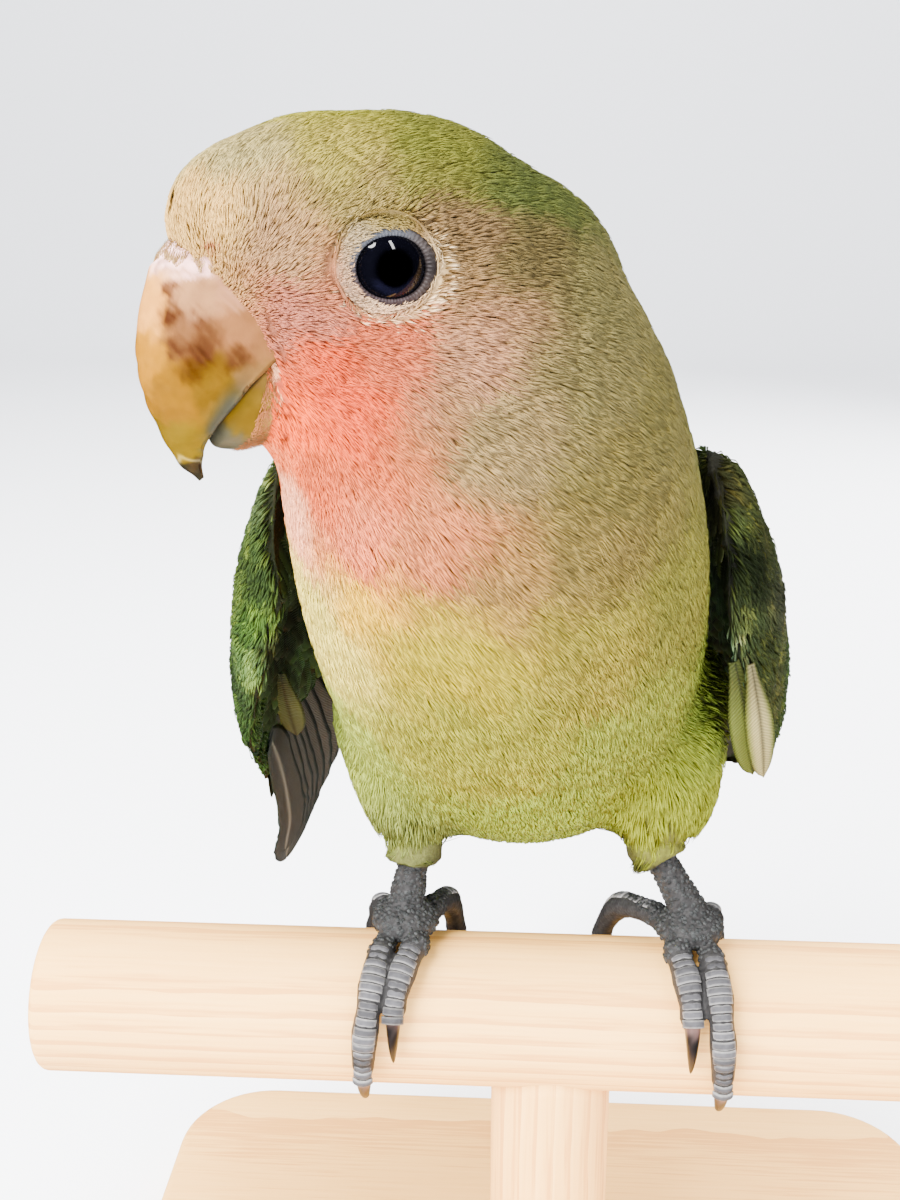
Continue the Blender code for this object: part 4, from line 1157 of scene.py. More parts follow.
# The tail: twelve feathers in a closed fan, with coverts above and below
tailRows = (  # centre y and z, half width, half depth
    (34.0, 16.0, 7.0, 3.2), (45.0, 9.2, 7.4, 2.8), (55.0, 3.0, 7.6, 2.0), (66.0, -4.2, 8.0, 1.5),
    (77.0, -11.2, 7.2, 1.1), (83.5, -15.4, 4.0, 0.8), (86.0, -17.0, 1.2, 0.5),
)
tail = {
    "middle": -2.5, "tilt": 38.0, "feathers": 12, "halfWidth": 3.4,
    "middleColour": "#1f4a24", "edgeColour": "#2f6230", "tipColour": "#23605a", "underColour": "#4d6048",
    "bandColour": "#14191a", "baseColour": "#9c4420",
    "rowStep": 11.0,  # mm between the first rows of tailRows
}
tailUp = np.array((0.0, math.sin(math.radians(tail["tilt"])), math.cos(math.radians(tail["tilt"]))))
toLeft = np.array((1.0, 0.0, 0.0))
tailCoverts = {
    # rows of feathers over the tail's root: first and last place along tailRows, rows, feathers in a row
    "upper": (-0.25, 2.3, 7, 6, ("#17384c", "#1d4a58", "#1f4a38")),
    "under": (-0.1, 2.6, 7, 6, ("#56701d", "#6b8426", "#748c2c")),
}


def layTailCoverts():
    part, outline = vaneOutline(9, 0.45, 0.1)
    columns = np.linspace(-1, 1, 7)[None, None, :]
    for kind, (first, last, count, wide, codes) in tailCoverts.items():
        sign = 1 if kind == "upper" else -1
        spots = [(place, across + (0.5 / wide if number % 2 else 0))
                 for number, place in enumerate(np.linspace(first, last, count))
                 for across in np.linspace(-0.9, 0.9, wide)]
        spots = np.array(spots)[::-1]
        length = 11.0 * luck.uniform(0.9, 1.1, len(spots))
        steps = spots[:, :1] + length[:, None] * part / tail["rowStep"]
        row = alongRows(tailRows, np.clip(steps, 0, 6))
        ahead = np.minimum(steps, 0) * tail["rowStep"]  # rows before the first one run straight on
        place = np.stack((tail["middle"] + 0 * steps, row[..., 0] + ahead * tailUp[2],
                          row[..., 1] - ahead * tailUp[1]), axis=2)
        half = 3.0 * outline[None, :, None] * (1 + 0.03 * luck.normal(0, 1, (len(spots), 9, 7)))
        across = spots[:, 1][:, None, None] + columns * half / row[..., 2:3]
        bow = np.sqrt(np.clip(1 - across ** 2, 0.03, 1))
        rise = sign * (row[..., 3:4] * bow + mix(0.1, 0.75, part)[None, :, None])
        top = (place[:, :, None] - toLeft * sign * (across * row[..., 2:3])[..., None]
               + tailUp * rise[..., None])
        out = unit(tailUp * sign * bow[..., None] + toLeft * across[..., None])
        if kind == "under":  # the columns run the other way, so that the blades aren't inside out
            top, out = top[:, :, ::-1], out[:, :, ::-1]
        colours = [np.tile(fromHex(code), (len(spots), 1)) for code in codes]
        shades = vaneShades(part, columns, half, *colours)
        vanePiece(f"tail_coverts_{kind}", top, out, half, length, part, columns,
                  shades, shades * 0.7, spots[:, 0] * 10 + spots[:, 1])


def makeTail():
    part, outline = vaneOutline(28, 0.14)
    columns = np.linspace(-1, 1, vane["columns"])[None, None, :]
    count = tail["feathers"]
    places = np.linspace(-1, 1, count)
    rank = np.abs(places)  # the middle pair lies on top
    steps = part[None, :] * (5.95 - 1.15 * rank[:, None] ** 2.2)
    row = alongRows(tailRows, steps)
    fan = places[:, None] * 0.62 * row[:, :, 2]
    half = tail["halfWidth"] * outline[None, :, None] * (1 - 0.15 * rank[:, None, None])
    half = half * np.ones_like(columns)
    half = np.minimum(half, (row[:, :, 2] - np.abs(fan))[:, :, None] + 0.9)
    half = half * (1 + 0.02 * luck.normal(0, 1, half.shape))
    centre = np.stack((tail["middle"] + fan, row[:, :, 0], row[:, :, 1]), axis=2)
    stack = (0.75 - 1.5 * rank[:, None] + 0.04 * places[:, None]) * row[:, :, 3]
    top = centre[:, :, None, :] - toLeft * (columns * half)[..., None]
    across = (top[..., 0] - tail["middle"]) / row[:, :, 2][:, :, None]
    crown = 0.10 * row[:, :, 2][:, :, None] * (1 - across ** 2)
    top = top + tailUp * (stack[:, :, None] + crown + 0.2 * (1 - columns ** 2))[..., None]
    colours = [np.tile(fromHex(tail[key]), (count, 1))
               for key in ("middleColour", "edgeColour", "tipColour")]
    shades = vaneShades(part, -columns, half, *colours)
    outer = ease(rank, 0.1, 0.3)[:, None, None, None]
    band = (ease(part, 0.70, 0.75) * (1 - ease(part, 0.82, 0.88)))[None, :, None, None] * outer
    base = (1 - ease(part, 0.58, 0.68))[None, :, None, None] * outer * 0.8
    under = np.broadcast_to(fromHex(tail["underColour"]), shades.shape)
    shades = mix(mix(shades, fromHex(tail["baseColour"]), base), fromHex(tail["bandColour"]), band)
    under = mix(mix(under, fromHex(tail["baseColour"]), base * 0.6), fromHex(tail["bandColour"]), band * 0.8)
    vanePiece("tail_feathers", top, np.broadcast_to(tailUp, top.shape), half,
              np.full(count, 60.0), part, columns, shades, under, places, stands=("tail",))
    layTailCoverts()
    print("tail laid")


# The bill: lofts in the head's frame, forward and up of the ridge and of the cutting edge, then half width
billRows = {
    "upper": (
        (9.5, 3.2, 3.0, -5.5, 5.4), (14.6, 2.2, 6.6, -6.4, 5.7), (16.6, -1.8, 9.2, -8.4, 5.4),
        (17.5, -6.0, 10.9, -10.4, 4.8), (17.2, -9.8, 12.3, -12.3, 3.8), (16.1, -13.0, 12.9, -14.0, 2.5),
        (14.7, -15.8, 12.9, -15.6, 1.3), (13.0, -17.5, 12.6, -17.1, 0.4),
    ),
    "lower": (  # the keel takes the ridge's place
        (3.0, -13.5, 4.0, -6.2, 4.6), (6.6, -14.6, 7.4, -6.9, 4.8), (9.4, -15.2, 9.6, -9.1, 4.1),
        (11.4, -14.8, 11.2, -11.5, 2.7), (12.0, -14.0, 11.9, -13.2, 0.9),
    ),
}
# Where each colour sits on the bill's left side, how far it reaches in mm, and the colour
billZones = {
    "cere": ((13.3, 3.1, 1.2), 2.2, "#d29f98"),
    # cereTop is partly the cere's own pale pink and partly a painted highlight on its top
    "cereTop": ((14.9, 0.0, 1.8), 2.0, "#efbdb9"),
    "cereSide": ((10.7, 4.9, -1.6), 2.0, "#80573f"),
    "base": ((13.6, 4.2, -2.4), 2.6, "#745034"),
    "baseSide": ((10.6, 5.3, -4.6), 2.6, "#613d22"),
    "ridge": ((16.6, 0.6, -3.2), 2.6, "#9c682a"),
    "middle": ((13.9, 4.6, -5.2), 2.8, "#53341d"),
    "lowMiddle": ((13.0, 4.6, -8.4), 2.6, "#473002"),
    "ridgeLow": ((17.3, 0.8, -7.4), 3.0, "#744b00"),
    "yellow": ((15.9, 3.0, -9.6), 3.0, "#563700"),
    "edge": ((9.9, 5.3, -8.7), 1.7, "#51381c"),
    "edgeFront": ((12.0, 4.5, -11.0), 1.7, "#4a3408"),
    "tip": ((14.9, 1.4, -13.8), 2.4, "#4c3a00"),
    "tipEnd": ((13.2, 0.4, -17.2), 2.4, "#15140f"),
    "lowerYellow": ((9.8, 3.8, -11.6), 2.4, "#4c3806"),
    "lowerGrey": ((10.9, 1.5, -14.4), 2.2, "#38362a"),
    "lowerBase": ((7.0, 4.5, -12.0), 2.4, "#8a7030"),
}
billMarks = (  # juvenile stains: place, size in mm, strength
    ((15.2, 0.9, 0.2), 0.75, 0.6), ((15.4, 2.6, -1.6), 0.8, 0.85), ((15.4, 3.0, -3.5), 1.0, 0.9),
    ((13.3, 4.4, -4.0), 0.9, 0.6), ((13.4, 4.5, -6.3), 1.3, 0.9), ((15.1, 3.6, -5.9), 0.9, 0.7),
    ((13.9, 4.3, -8.2), 0.9, 0.55), ((10.7, 5.3, -6.7), 0.9, 0.65), ((14.5, 4.0, -7.5), 0.8, 0.5),
    ((12.3, 4.9, -5.0), 0.8, 0.45), ((11.6, 5.0, -7.6), 0.7, 0.45),
)
billColours = {
    "stain": "#210a03",
    "edge": "#262620",  # the grey band over the cutting edge
    # The mouth colour: near-black on both bills' inner floors and the lower bill's cutting edges, painted
    # shadow of the gape over the mouth's own dark lining
    "mouthShadow": "#0f0605",
    # The nostril colour is painted shade in each nostril's hollow
    "nostril": "#5a3d36",
    "tipLine": "#b8a878",  # the pale line where the dark tip starts
}
nostril = {"place": (12.2, 3.5, 0.9), "radius": 0.62, "deep": 0.75, "rim": 0.22}


def billSolid(kind, rows, columns):
    steps = np.linspace(0, len(billRows[kind]) - 1, rows)
    row = alongRows(billRows[kind], steps)[:, None, :]
    across = np.linspace(-1, 1, columns)[None, :]
    down = np.abs(across) ** 1.6
    side = row[..., 4] * np.sin(np.abs(across) * math.pi / 2) ** 0.85 * np.sign(across)
    ahead, high = mix(row[..., 0], row[..., 2], down), mix(row[..., 1], row[..., 3], down)
    outer = np.stack((ahead, side, high), axis=2)
    left, right = outer[:, -1:], outer[:, :1]
    hollow = 0.35 if kind == "upper" else -0.55  # the tongue side of the lower bill is domed
    vault = (outer[:, columns // 2:columns // 2 + 1] - (left + right) / 2) * hollow
    floor = [mix(left, right, part) + vault * math.sin(part * math.pi)
             for part in (0.12, 0.3, 0.5, 0.7, 0.88)]
    return np.concatenate([outer] + floor, axis=1)


def makeBill(skin):
    for kind, rows, columns in (("upper", 120, 91), ("lower", 60, 61)):
        points, faces = lofted(billSolid(kind, rows, columns))
        if kind == "lower":
            faces = [some[:, ::-1] for some in faces]
        ups = pointNormals(points, faces[0])
        mirrored = points * (1, 0, 1) + np.abs(points) * (0, 1, 0)
        toNostril = np.linalg.norm((mirrored - nostril["place"]) * (1.0, 0.6, 1.0), axis=1)
        layers = 0.05 * np.sin(mirrored[:, 2] * 2.3 + mirrored[:, 0] * 1.1 + ripple(points, 5.0)[:, 0])
        grow = 0.10 + layers * ease(-mirrored[:, 2], 2, 8)
        soft = np.zeros(len(points))
        if kind == "upper":  # the fleshy cere, its lower rim, and the nostrils
            soft = ease(mirrored[:, 2] - 0.6 * (mirrored[:, 0] - 12.0), -2.4, -1.0)
            cere = ease(mirrored[:, 2] - 0.55 * (mirrored[:, 0] - 12.0), -2.3, -1.2)
            grow = grow + 0.42 * cere + 0.10 * cere * ripple(points, 2.4)[:, 1]
            grow = grow - nostril["deep"] * np.exp(-(toNostril / nostril["radius"]) ** 4)
            grow = grow + nostril["rim"] * np.exp(-((toNostril - 1.05) / 0.32) ** 2)
        points = points + ups * grow[:, None]
        colours = billShades(kind, points, mirrored, toNostril, rows, columns)
        makePiece(f"bill_{kind}_horn", fromHead(points), faces, finishes["bill"],
                  numbers={"soft": soft}, colours=colours, stands=(f"bill_{kind}",))
        makeBillDown(kind, fromHead(points), faces, skin)
    print("bill made")


def billShades(kind, points, mirrored, toNostril, rows, columns):
    wander = ripple(points, 3.0) * 0.25 + ripple(points[:, (1, 2, 0)], 1.3) * 0.18
    patchy = np.clip(0.95 + 0.25 * ripple(points, 1.1)[:, 0], 0, 1)
    warped = mirrored + wander
    colours = zoneBlend(warped, zoneArrays(billZones.values()), 3)
    for place, size, strength in billMarks:
        away = np.linalg.norm(warped - place, axis=1) / size
        stained = strength * patchy * np.exp(-away ** 3)
        colours = mix(colours, fromHex(billColours["stain"]), stained[:, None])
    if kind == "upper":
        # Painted shade: each nostril's hollow darkened
        hole = 0.9 * np.exp(-(toNostril / 0.5) ** 4)
        colours = mix(colours, fromHex(billColours["nostril"]), hole[:, None])
        line = np.abs(mirrored[:, 2] + 15.4 + 0.25 * np.sin(mirrored[:, 1] * 5.0)) / 0.22
        colours = mix(colours, fromHex(billColours["tipLine"]), 0.35 * np.exp(-line ** 2)[:, None])
    # The rows run from the root to the tip, and the outer columns from one cutting edge to the other
    grid = colours.reshape(rows, -1, 3)
    part = np.linspace(0, 1, rows)[:, None, None]
    rim = np.abs(np.linspace(-1, 1, columns))[None, :, None]
    if kind == "upper":
        band = ease(rim, 0.84, 0.97) * ease(part, 0.28, 0.46) * (1 - ease(part, 0.60, 0.72))
        grid[:, :columns] = mix(grid[:, :columns], fromHex(billColours["edge"]), band)
    else:
        # Painted shadow along the lower bill's cutting edges, where they tuck under the upper bill
        grid[:, :columns] = mix(grid[:, :columns], fromHex(billColours["mouthShadow"]), ease(rim, 0.93, 0.99))
    # Painted shadow of the mouth over the inner floor of each bill
    grid[:, columns:] = fromHex(billColours["mouthShadow"])
    return grid


billDown = {
    "gap": 0.13, "length": 1.5, "width": 0.14, "lift": 0.18,
    "colours": {"upper": "#dcbd94", "lower": "#dca57c"},
    "chinEnd": 8.6,  # how far forward the chin's feathers are rooted on the lower bill
    "browLow": 1.0,  # how low the forehead's feathers are rooted on the cere
}


def makeBillDown(kind, points, faces, skin):
    # The face's feathers grow on over the root of the bill
    roots, ups = scatterRoots(points, faces[0], billDown["gap"])
    inHead = toHead(roots) + 0.3 * ripple(roots, 2.6)
    if kind == "lower":
        limit = billDown["chinEnd"] + 0.2 * np.clip(-9.5 - inHead[:, 2], 0, 5)
        keep = (inHead[:, 0] < limit) & ((np.abs(inHead[:, 1]) > 3.0) | (inHead[:, 2] < -12))
        points, faces = joined([(points, faces), (skin[0], [skin[1]])])
    else:
        keep = inHead[:, 2] > billDown["browLow"]
    roots, ups = roots[keep], ups[keep]
    ways = lieAt(roots, ups) if kind == "lower" else unit(fromHead((0.7, 0, -0.7)) - fromHead((0, 0, 0)))
    ways = unit(ways - ups * dot(ways, ups) + luck.normal(0, 0.12, roots.shape))
    length, width, lift = (billDown[key] * luck.uniform(0.8, 1.2, len(roots))
                           for key in ("length", "width", "lift"))
    tufts = makeTufts(roots, ups, ways, length, width, lift, treeOf(points, *faces))[0]
    sound = np.linalg.norm(tufts[:, 4] - roots, axis=1) < 1.6 * length
    colours = mix(plumageAt(roots + ways), fromHex(billDown["colours"][kind]), 0.75)
    colours = colours * luck.uniform(0.9, 1.1, (len(roots), 1))
    savePiece(f"bill_down_{kind}", np.nonzero(sound)[0], tufts, colours,
              fitted(unwrapAt(roots))[sound])


# Eyes and lids: both turned about the eye's own axis
eyeAxis = unit(np.array((0.13, 1.0, 0.03)))  # forward, left, up
eye = {
    "iris": "#020204", "pupil": "#000000", "crescent": "#05050d",  # a blue-black crescent low in the iris
    "cornea": 0.10,  # how far it bulges
}
lid = {
    # radius and height along the lid, from its inner edge outward and back under it
    "profile": (
        (2.44, 2.30), (2.52, 2.58), (2.60, 2.78), (2.72, 2.88), (2.88, 2.88), (3.04, 2.80), (3.20, 2.64),
        (3.38, 2.40), (3.58, 2.10), (3.80, 1.78), (4.05, 1.40), (4.3, 0.95), (4.0, 0.6), (2.8, 1.4),
    ),
    "stretch": 0.095, "beads": 62, "wrinkles": 46,
    # The seam colour is painted shade, near-black where the lid meets the eye and in its rear corner
    "high": "#33353a", "low": "#281f20", "rear": "#2a2320", "seamShade": "#080607", "bead": "#4c4a4b",
    "down": {"count": 1500, "length": 0.95, "width": 0.12, "lift": 0.16},  # the tiny feathers round the lid
}


def eyeFrame(side):
    axis = eyeAxis * (1, side, 1)
    ahead = flat(np.array((1.0, 0.0, 0.0)), axis)
    up = np.cross(axis, ahead)
    return eyeCentre * (1, side, 1), axis, ahead, up * math.copysign(1.0, up[2])


def makeEyes(skin):
    for name, side in (("left", 1), ("right", -1)):
        centre, axis, ahead, up = eyeFrame(side)
        turns = np.linspace(0, 2 * math.pi, 64, endpoint=False)
        if np.dot(np.cross(ahead, up), axis) < 0:
            turns = turns[::-1]
        spokes = ahead * np.cos(turns)[:, None] + up * np.sin(turns)[:, None]
        rings = []
        for tilt in np.radians(np.linspace(178, 2, 48)):
            radius = eyeRadius + eye["cornea"] * math.exp(-(tilt / 0.55) ** 2)
            rings.append(centre + axis * (radius * math.cos(tilt)) + spokes * (radius * math.sin(tilt)))
        points, faces = lofted(rings)
        away = np.linalg.norm(np.cross(points - centre, axis), axis=1)
        pupil = 1 - ease(away, 1.25, 1.75)
        colours = mix(fromHex(eye["iris"]), fromHex(eye["pupil"]), pupil[:, None])
        below = -dot(points - centre, up)[:, 0] / np.maximum(away, 0.1)
        crescent = ease(away, 1.45, 1.6) * (1 - ease(away, 1.9, 2.1)) * ease(below, 0.3, 0.75)
        colours = mix(colours, fromHex(eye["crescent"]), crescent[:, None])
        makePiece(f"eyeball_{name}", fromHead(points), faces, finishes["eye"], colours=colours,
                  stands=(f"eye_{name}",))
        makeLid(name, side, skin)
    print("eyes made")


def lidCorner(turns):  # 1 at the drawn-out rear corner
    return np.exp(-((turns - math.pi) / 0.33) ** 2)


def lidPlace(frameOfEye, turns, radius, height):
    # A place on the lid, in the head's frame, from its turn and the profile's radius and height
    centre, axis, ahead, up = frameOfEye
    corner = lidCorner(turns)
    out = radius * (1 + lid["stretch"] * np.cos(2 * turns)) + 0.25 * corner * ease(radius, 2.5, 3.2)
    out = out - 0.22 * ease(np.cos(turns), 0.2, 1.0) * ease(radius, 2.7, 3.3)
    rise = height - 0.10 * corner + 0.10 * np.sin(turns) ** 2
    across = ahead * (np.cos(turns) * out)[..., None] + up * (np.sin(turns) * out)[..., None]
    return centre + axis * rise[..., None] + across


def makeLid(name, side, skin):
    frameOfEye = eyeFrame(side)
    axis = frameOfEye[1]
    turns = np.linspace(0, 2 * math.pi, 288, endpoint=False)
    rows = alongRows(lid["profile"], np.linspace(0, len(lid["profile"]) - 1, 44))
    radius, height = rows[:, 0:1], rows[:, 1:2]
    edge = 3.30 - 0.16 * ease(np.cos(turns), 0.2, 1.0)  # where the bare ring ends
    rim = np.exp(-((radius - 2.68) / 0.16) ** 2)
    wrinkle = 0.06 * np.sin(lid["wrinkles"] * turns + 2.0 * np.sin(turns * 3)) * ease(radius, 2.8, 3.1)
    wrinkle = wrinkle * (0.6 + 0.4 * np.sin(turns * 5 + 1.0)) * (1 - ease(radius, edge, edge + 0.15))
    bead = 0.045 * np.cos(lid["beads"] * turns) * rim
    rise = height + wrinkle + bead + 0.12 * np.clip(-np.sin(turns), 0, 1) * rim
    turned = turns[None, :] + 0 * rise
    points = lidPlace(frameOfEye, turned, radius + 0 * rise, rise)
    ring = len(turns)
    last = (len(points) - 1) * ring  # closes the ring's inside
    along = np.arange(ring)
    closing = np.stack((last + along, last + (along + 1) % ring, (along + 1) % ring, along), axis=1)
    faces = np.concatenate((loftFaces(len(points), ring), closing))
    points = points.reshape(-1, 3)
    sides = [points[faces[0, corner]] - points[faces[0, 0]] for corner in (1, 3)]
    if np.dot(np.cross(*sides), axis) < 0:
        faces = faces[:, ::-1]
    shade = mix(fromHex(lid["low"]), fromHex(lid["high"]), ease(np.sin(turned), -0.5, 0.6)[..., None])
    shade = mix(shade, fromHex(lid["rear"]), 0.8 * ease(-np.cos(turned), 0.2, 0.9)[..., None])
    # Painted shade at the lid's inner edge, against the eye, and in its rear corner
    seamShade = np.maximum(1 - ease(radius, 2.46, 2.62), 0.6 * lidCorner(turned))
    shade = mix(shade, fromHex(lid["seamShade"]), seamShade[..., None])
    shade = mix(shade, fromHex(lid["bead"]), np.clip(bead * 9 + wrinkle * 4, 0, 0.5)[..., None])
    feathered = ease(radius, edge, edge + 0.12)[..., None]
    places = fromHead(points)
    shade = mix(shade, 0.85 * plumageAt(places).reshape(shade.shape), feathered)
    makePiece(f"eyelid_{name}", places, [faces], finishes["lid"], colours=shade)
    makeLidDown(name, frameOfEye, places, faces, skin)


def makeLidDown(name, frameOfEye, places, faces, skin):
    # Tiny feathers rooted on the lid's outer slope
    down = lid["down"]
    turns = luck.uniform(0, 2 * math.pi, down["count"])
    radius = np.sqrt(luck.uniform(3.32 ** 2, 4.3 ** 2, down["count"])) - 0.16 * ease(np.cos(turns), 0.2, 1.0)
    slope = np.array(lid["profile"][:12])
    roots = fromHead(lidPlace(frameOfEye, turns, radius, np.interp(radius, slope[:, 0], slope[:, 1])))
    both, bothFaces = joined([(places, [faces]), (skin[0], [skin[1]])])
    tree = treeOf(both, *bothFaces)
    onto, ups = settle(tree, roots)
    radial = unit(roots - fromHead(frameOfEye[0]))
    radial = radial - ups * dot(radial, ups)
    ways = unit(lieAt(roots, ups) + 0.9 * radial + luck.normal(0, 0.12, roots.shape))
    vary = luck.uniform(0.8, 1.2, (3, down["count"]))
    length, width, lift = (down[key] * vary[row] for row, key in enumerate(("length", "width", "lift")))
    tufts, sound = makeTufts(onto, ups, ways, length, width, lift, tree)
    colours = plumageAt(roots + ways * 0.4) * luck.uniform(0.9, 1.1, (down["count"], 1))
    spots = fitted(np.stack((turns, radius), axis=1))
    savePiece(f"eye_down_{name}", np.nonzero(sound)[0], tufts, colours, spots[sound])


# Legs, toes and claws
perchGap = 0.3  # between the toes and the perch
feet = {
    "left": {"across": 13.2, "inward": -1.0},
    "right": {"across": -14.6, "inward": 1.0},
}
toes = {
    # how far inward the root and each tip lie, the angles round the perch that the toe runs between, its
    # radius at the root and the tip, its joints, and how far it arches clear of the perch
    "inner_front": {"root": 1.75, "left": 0.2, "right": -0.5, "turn": (12.0, 66.0),
                    "radius": (1.45, 1.20), "joints": 2, "arch": 0.3},
    "outer_front": {"root": -1.65, "left": -2.8, "right": -3.4, "turn": (12.0, 108.0),
                    "radius": (1.45, 1.15), "joints": 3, "arch": 0.3},
    "inner_back": {"root": 1.8, "left": 8.2, "right": 4.6, "turn": (-12.0, -76.0),
                   "radius": (1.40, 1.10), "joints": 2, "arch": 1.6},
    "outer_back": {"root": -1.8, "left": -3.8, "right": -4.2, "turn": (-12.0, -100.0),
                   "radius": (1.45, 1.10), "joints": 3, "arch": 0.6},
}
legs = {
    "voxel": 0.20, "smoothing": 5,
    "skin": "#2c2b2b", "crease": "#171616",
    "scutePitch": 0.74, "scuteHigh": 0.13, "scute": "#3a393b", "scuteEdge": "#6e6c6a",  # across the toes
    "scaleGap": 0.50, "scaleHigh": 0.16, "scale": "#232424", "scaleEdge": "#3d3c3b",  # on the legs
    "clawLength": 5.0, "claw": "#0d0b0b", "clawRoot": "#6f4f47",
}


def roundPerch(across, angle, lift):
    reach = perchRadius + lift
    return np.stack((across + 0 * angle, -np.sin(angle) * reach, np.cos(angle) * reach), axis=-1)


def toeLine(side, name, steps):
    toe, foot = toes[name], feet[side]
    part = np.linspace(0, 1, steps)
    radius = mix(*toe["radius"], part) * (1 + 0.10 * np.cos(2 * math.pi * toe["joints"] * part))
    angle = np.radians(mix(*toe["turn"], part))
    start, end = (foot["across"] + foot["inward"] * toe[place] for place in ("root", side))
    across = start + (end - start) * np.sin(part * math.pi / 2)
    return roundPerch(across, angle, perchGap + radius + toe["arch"] * np.sin(part * math.pi)), radius


def tubeFrames(centres):
    along = unit(np.gradient(centres, axis=0))
    side = flat(np.array((1.0, 0.0, 0.0)), along)
    return along, side, np.cross(side, along)


def makeClaws():
    for side in feet:
        for name, toe in toes.items():
            end = feet[side]["across"] + feet[side]["inward"] * toe[side]
            last = toe["turn"][1]
            way = math.copysign(1.0, last)
            part = np.linspace(-0.12, 1, 26)  # from inside the toe to the tip
            turn = math.radians(last) - way * 0.08 + way * part * legs["clawLength"] / (perchRadius + 1)
            lift = perchGap + 1.15 - 0.35 * part + 0.315 * np.sin(np.clip(part, 0, 1) * math.pi)
            radius = 0.88 * np.clip(1 - part, 0, 1.0) ** 0.75 + 0.07
            lift = np.maximum(lift, perchGap + radius * 0.9 + 0.06)
            centres = roundPerch(np.full(len(part), end), turn, lift)
            along, across, up = tubeFrames(centres)
            angles = np.linspace(0, 2 * math.pi, 24, endpoint=False)[None, :, None]
            reach = radius[:, None, None]
            rings = (centres[:, None] + across[:, None] * (np.cos(angles) * reach * 0.86)
                     + up[:, None] * (np.sin(angles) * reach))
            if np.dot(np.cross(across[0], up[0]), along[0]) < 0:
                rings = rings[:, ::-1]
            points, faces = lofted(rings)
            dark = ease(np.repeat(part, angles.size), 0.02, 0.36) + 0.12 * ripple(points, 2.0)[:, 0]
            colours = mix(fromHex(legs["clawRoot"]), fromHex(legs["claw"]), np.clip(dark, 0, 1)[:, None])
            makePiece(f"claw_horn_{side}_{name}", points, faces, finishes["claw"],
                      colours=colours, stands=(f"claw_{side}_{name}",))


footNodes = [f"foot_{side}" for side in feet] + [f"toe_{side}_{toe}" for side in feet for toe in toes]


def makeLegs():
    points, faces = grownTogether(footNodes, 0.0, legs["voxel"], legs["smoothing"])
    grain = ripple(points, 1.1)[:, 0] * 0.5 + ripple(points, 0.7)[:, 1] * 0.5
    colours = mix(fromHex(legs["skin"]), fromHex(legs["crease"]), (0.35 + 0.3 * grain)[:, None])
    return points, faces, colours


def saveScales(name, top, ups, thick, colours, under):
    # Closes grids of points (scales, rows, columns, 3) into thin solids, with dark undersides
    under = np.broadcast_to(under * 0.6, colours.shape)
    points, faces = closedRings(np.concatenate((top, (top - ups * thick)[:, :, ::-1]), axis=2))
    makePiece(name, points, faces, finishes["leg"],
              colours=np.concatenate((colours, under[:, :, ::-1]), axis=2))


def makeScutes():
    # Cross plates along the upper side of each toe
    turns = np.radians(np.linspace(-58, 58, 13))
    shares = np.linspace(-0.5, 0.5, 5)
    dome = np.sqrt(1 - np.abs(shares * 2) ** 3)[:, None] * (1 - np.linspace(-1, 1, 13) ** 6)[None]
    tops, outs = [], []
    for side in feet:
        for name in toes:
            centres, radius = toeLine(side, name, 200)
            alongs = tubeFrames(centres)[0]
            reach = np.concatenate(([0], np.cumsum(np.linalg.norm(np.diff(centres, axis=0), axis=1))))
            for spot in np.arange(2.4, reach[-1] - 0.1, legs["scutePitch"]):
                step = min(int(np.searchsorted(reach, spot)), 198)
                along = alongs[step]
                outward = unit(centres[step] * (0, 1, 1))
                across = unit(np.cross(along, outward))
                tilted = (turns + luck.normal(0, 0.02))[:, None]
                size = legs["scutePitch"] * luck.uniform(0.92, 1.0)
                spread = outward * np.cos(tilted) + across * np.sin(tilted)
                body = centres[step] + along * (shares * size)[:, None, None]
                body = body + spread[None] * (radius[step] - 0.02)
                out = np.broadcast_to(spread[None], body.shape)
                tops.append(body + out * (legs["scuteHigh"] * dome - 0.06)[..., None])
                outs.append(out)
    top, out = (np.stack(grids)[:, :, ::-1] for grids in (tops, outs))  # so that the rings run outward
    tone = 1 + 0.10 * luck.normal(0, 1, (len(top), 1, 1, 1))
    shade = mix(fromHex(legs["scuteEdge"]), fromHex(legs["scute"]), ease(dome, 0.35, 0.85)[..., None])
    saveScales("toe_scutes", top, out, 0.25, shade * tone, shade)


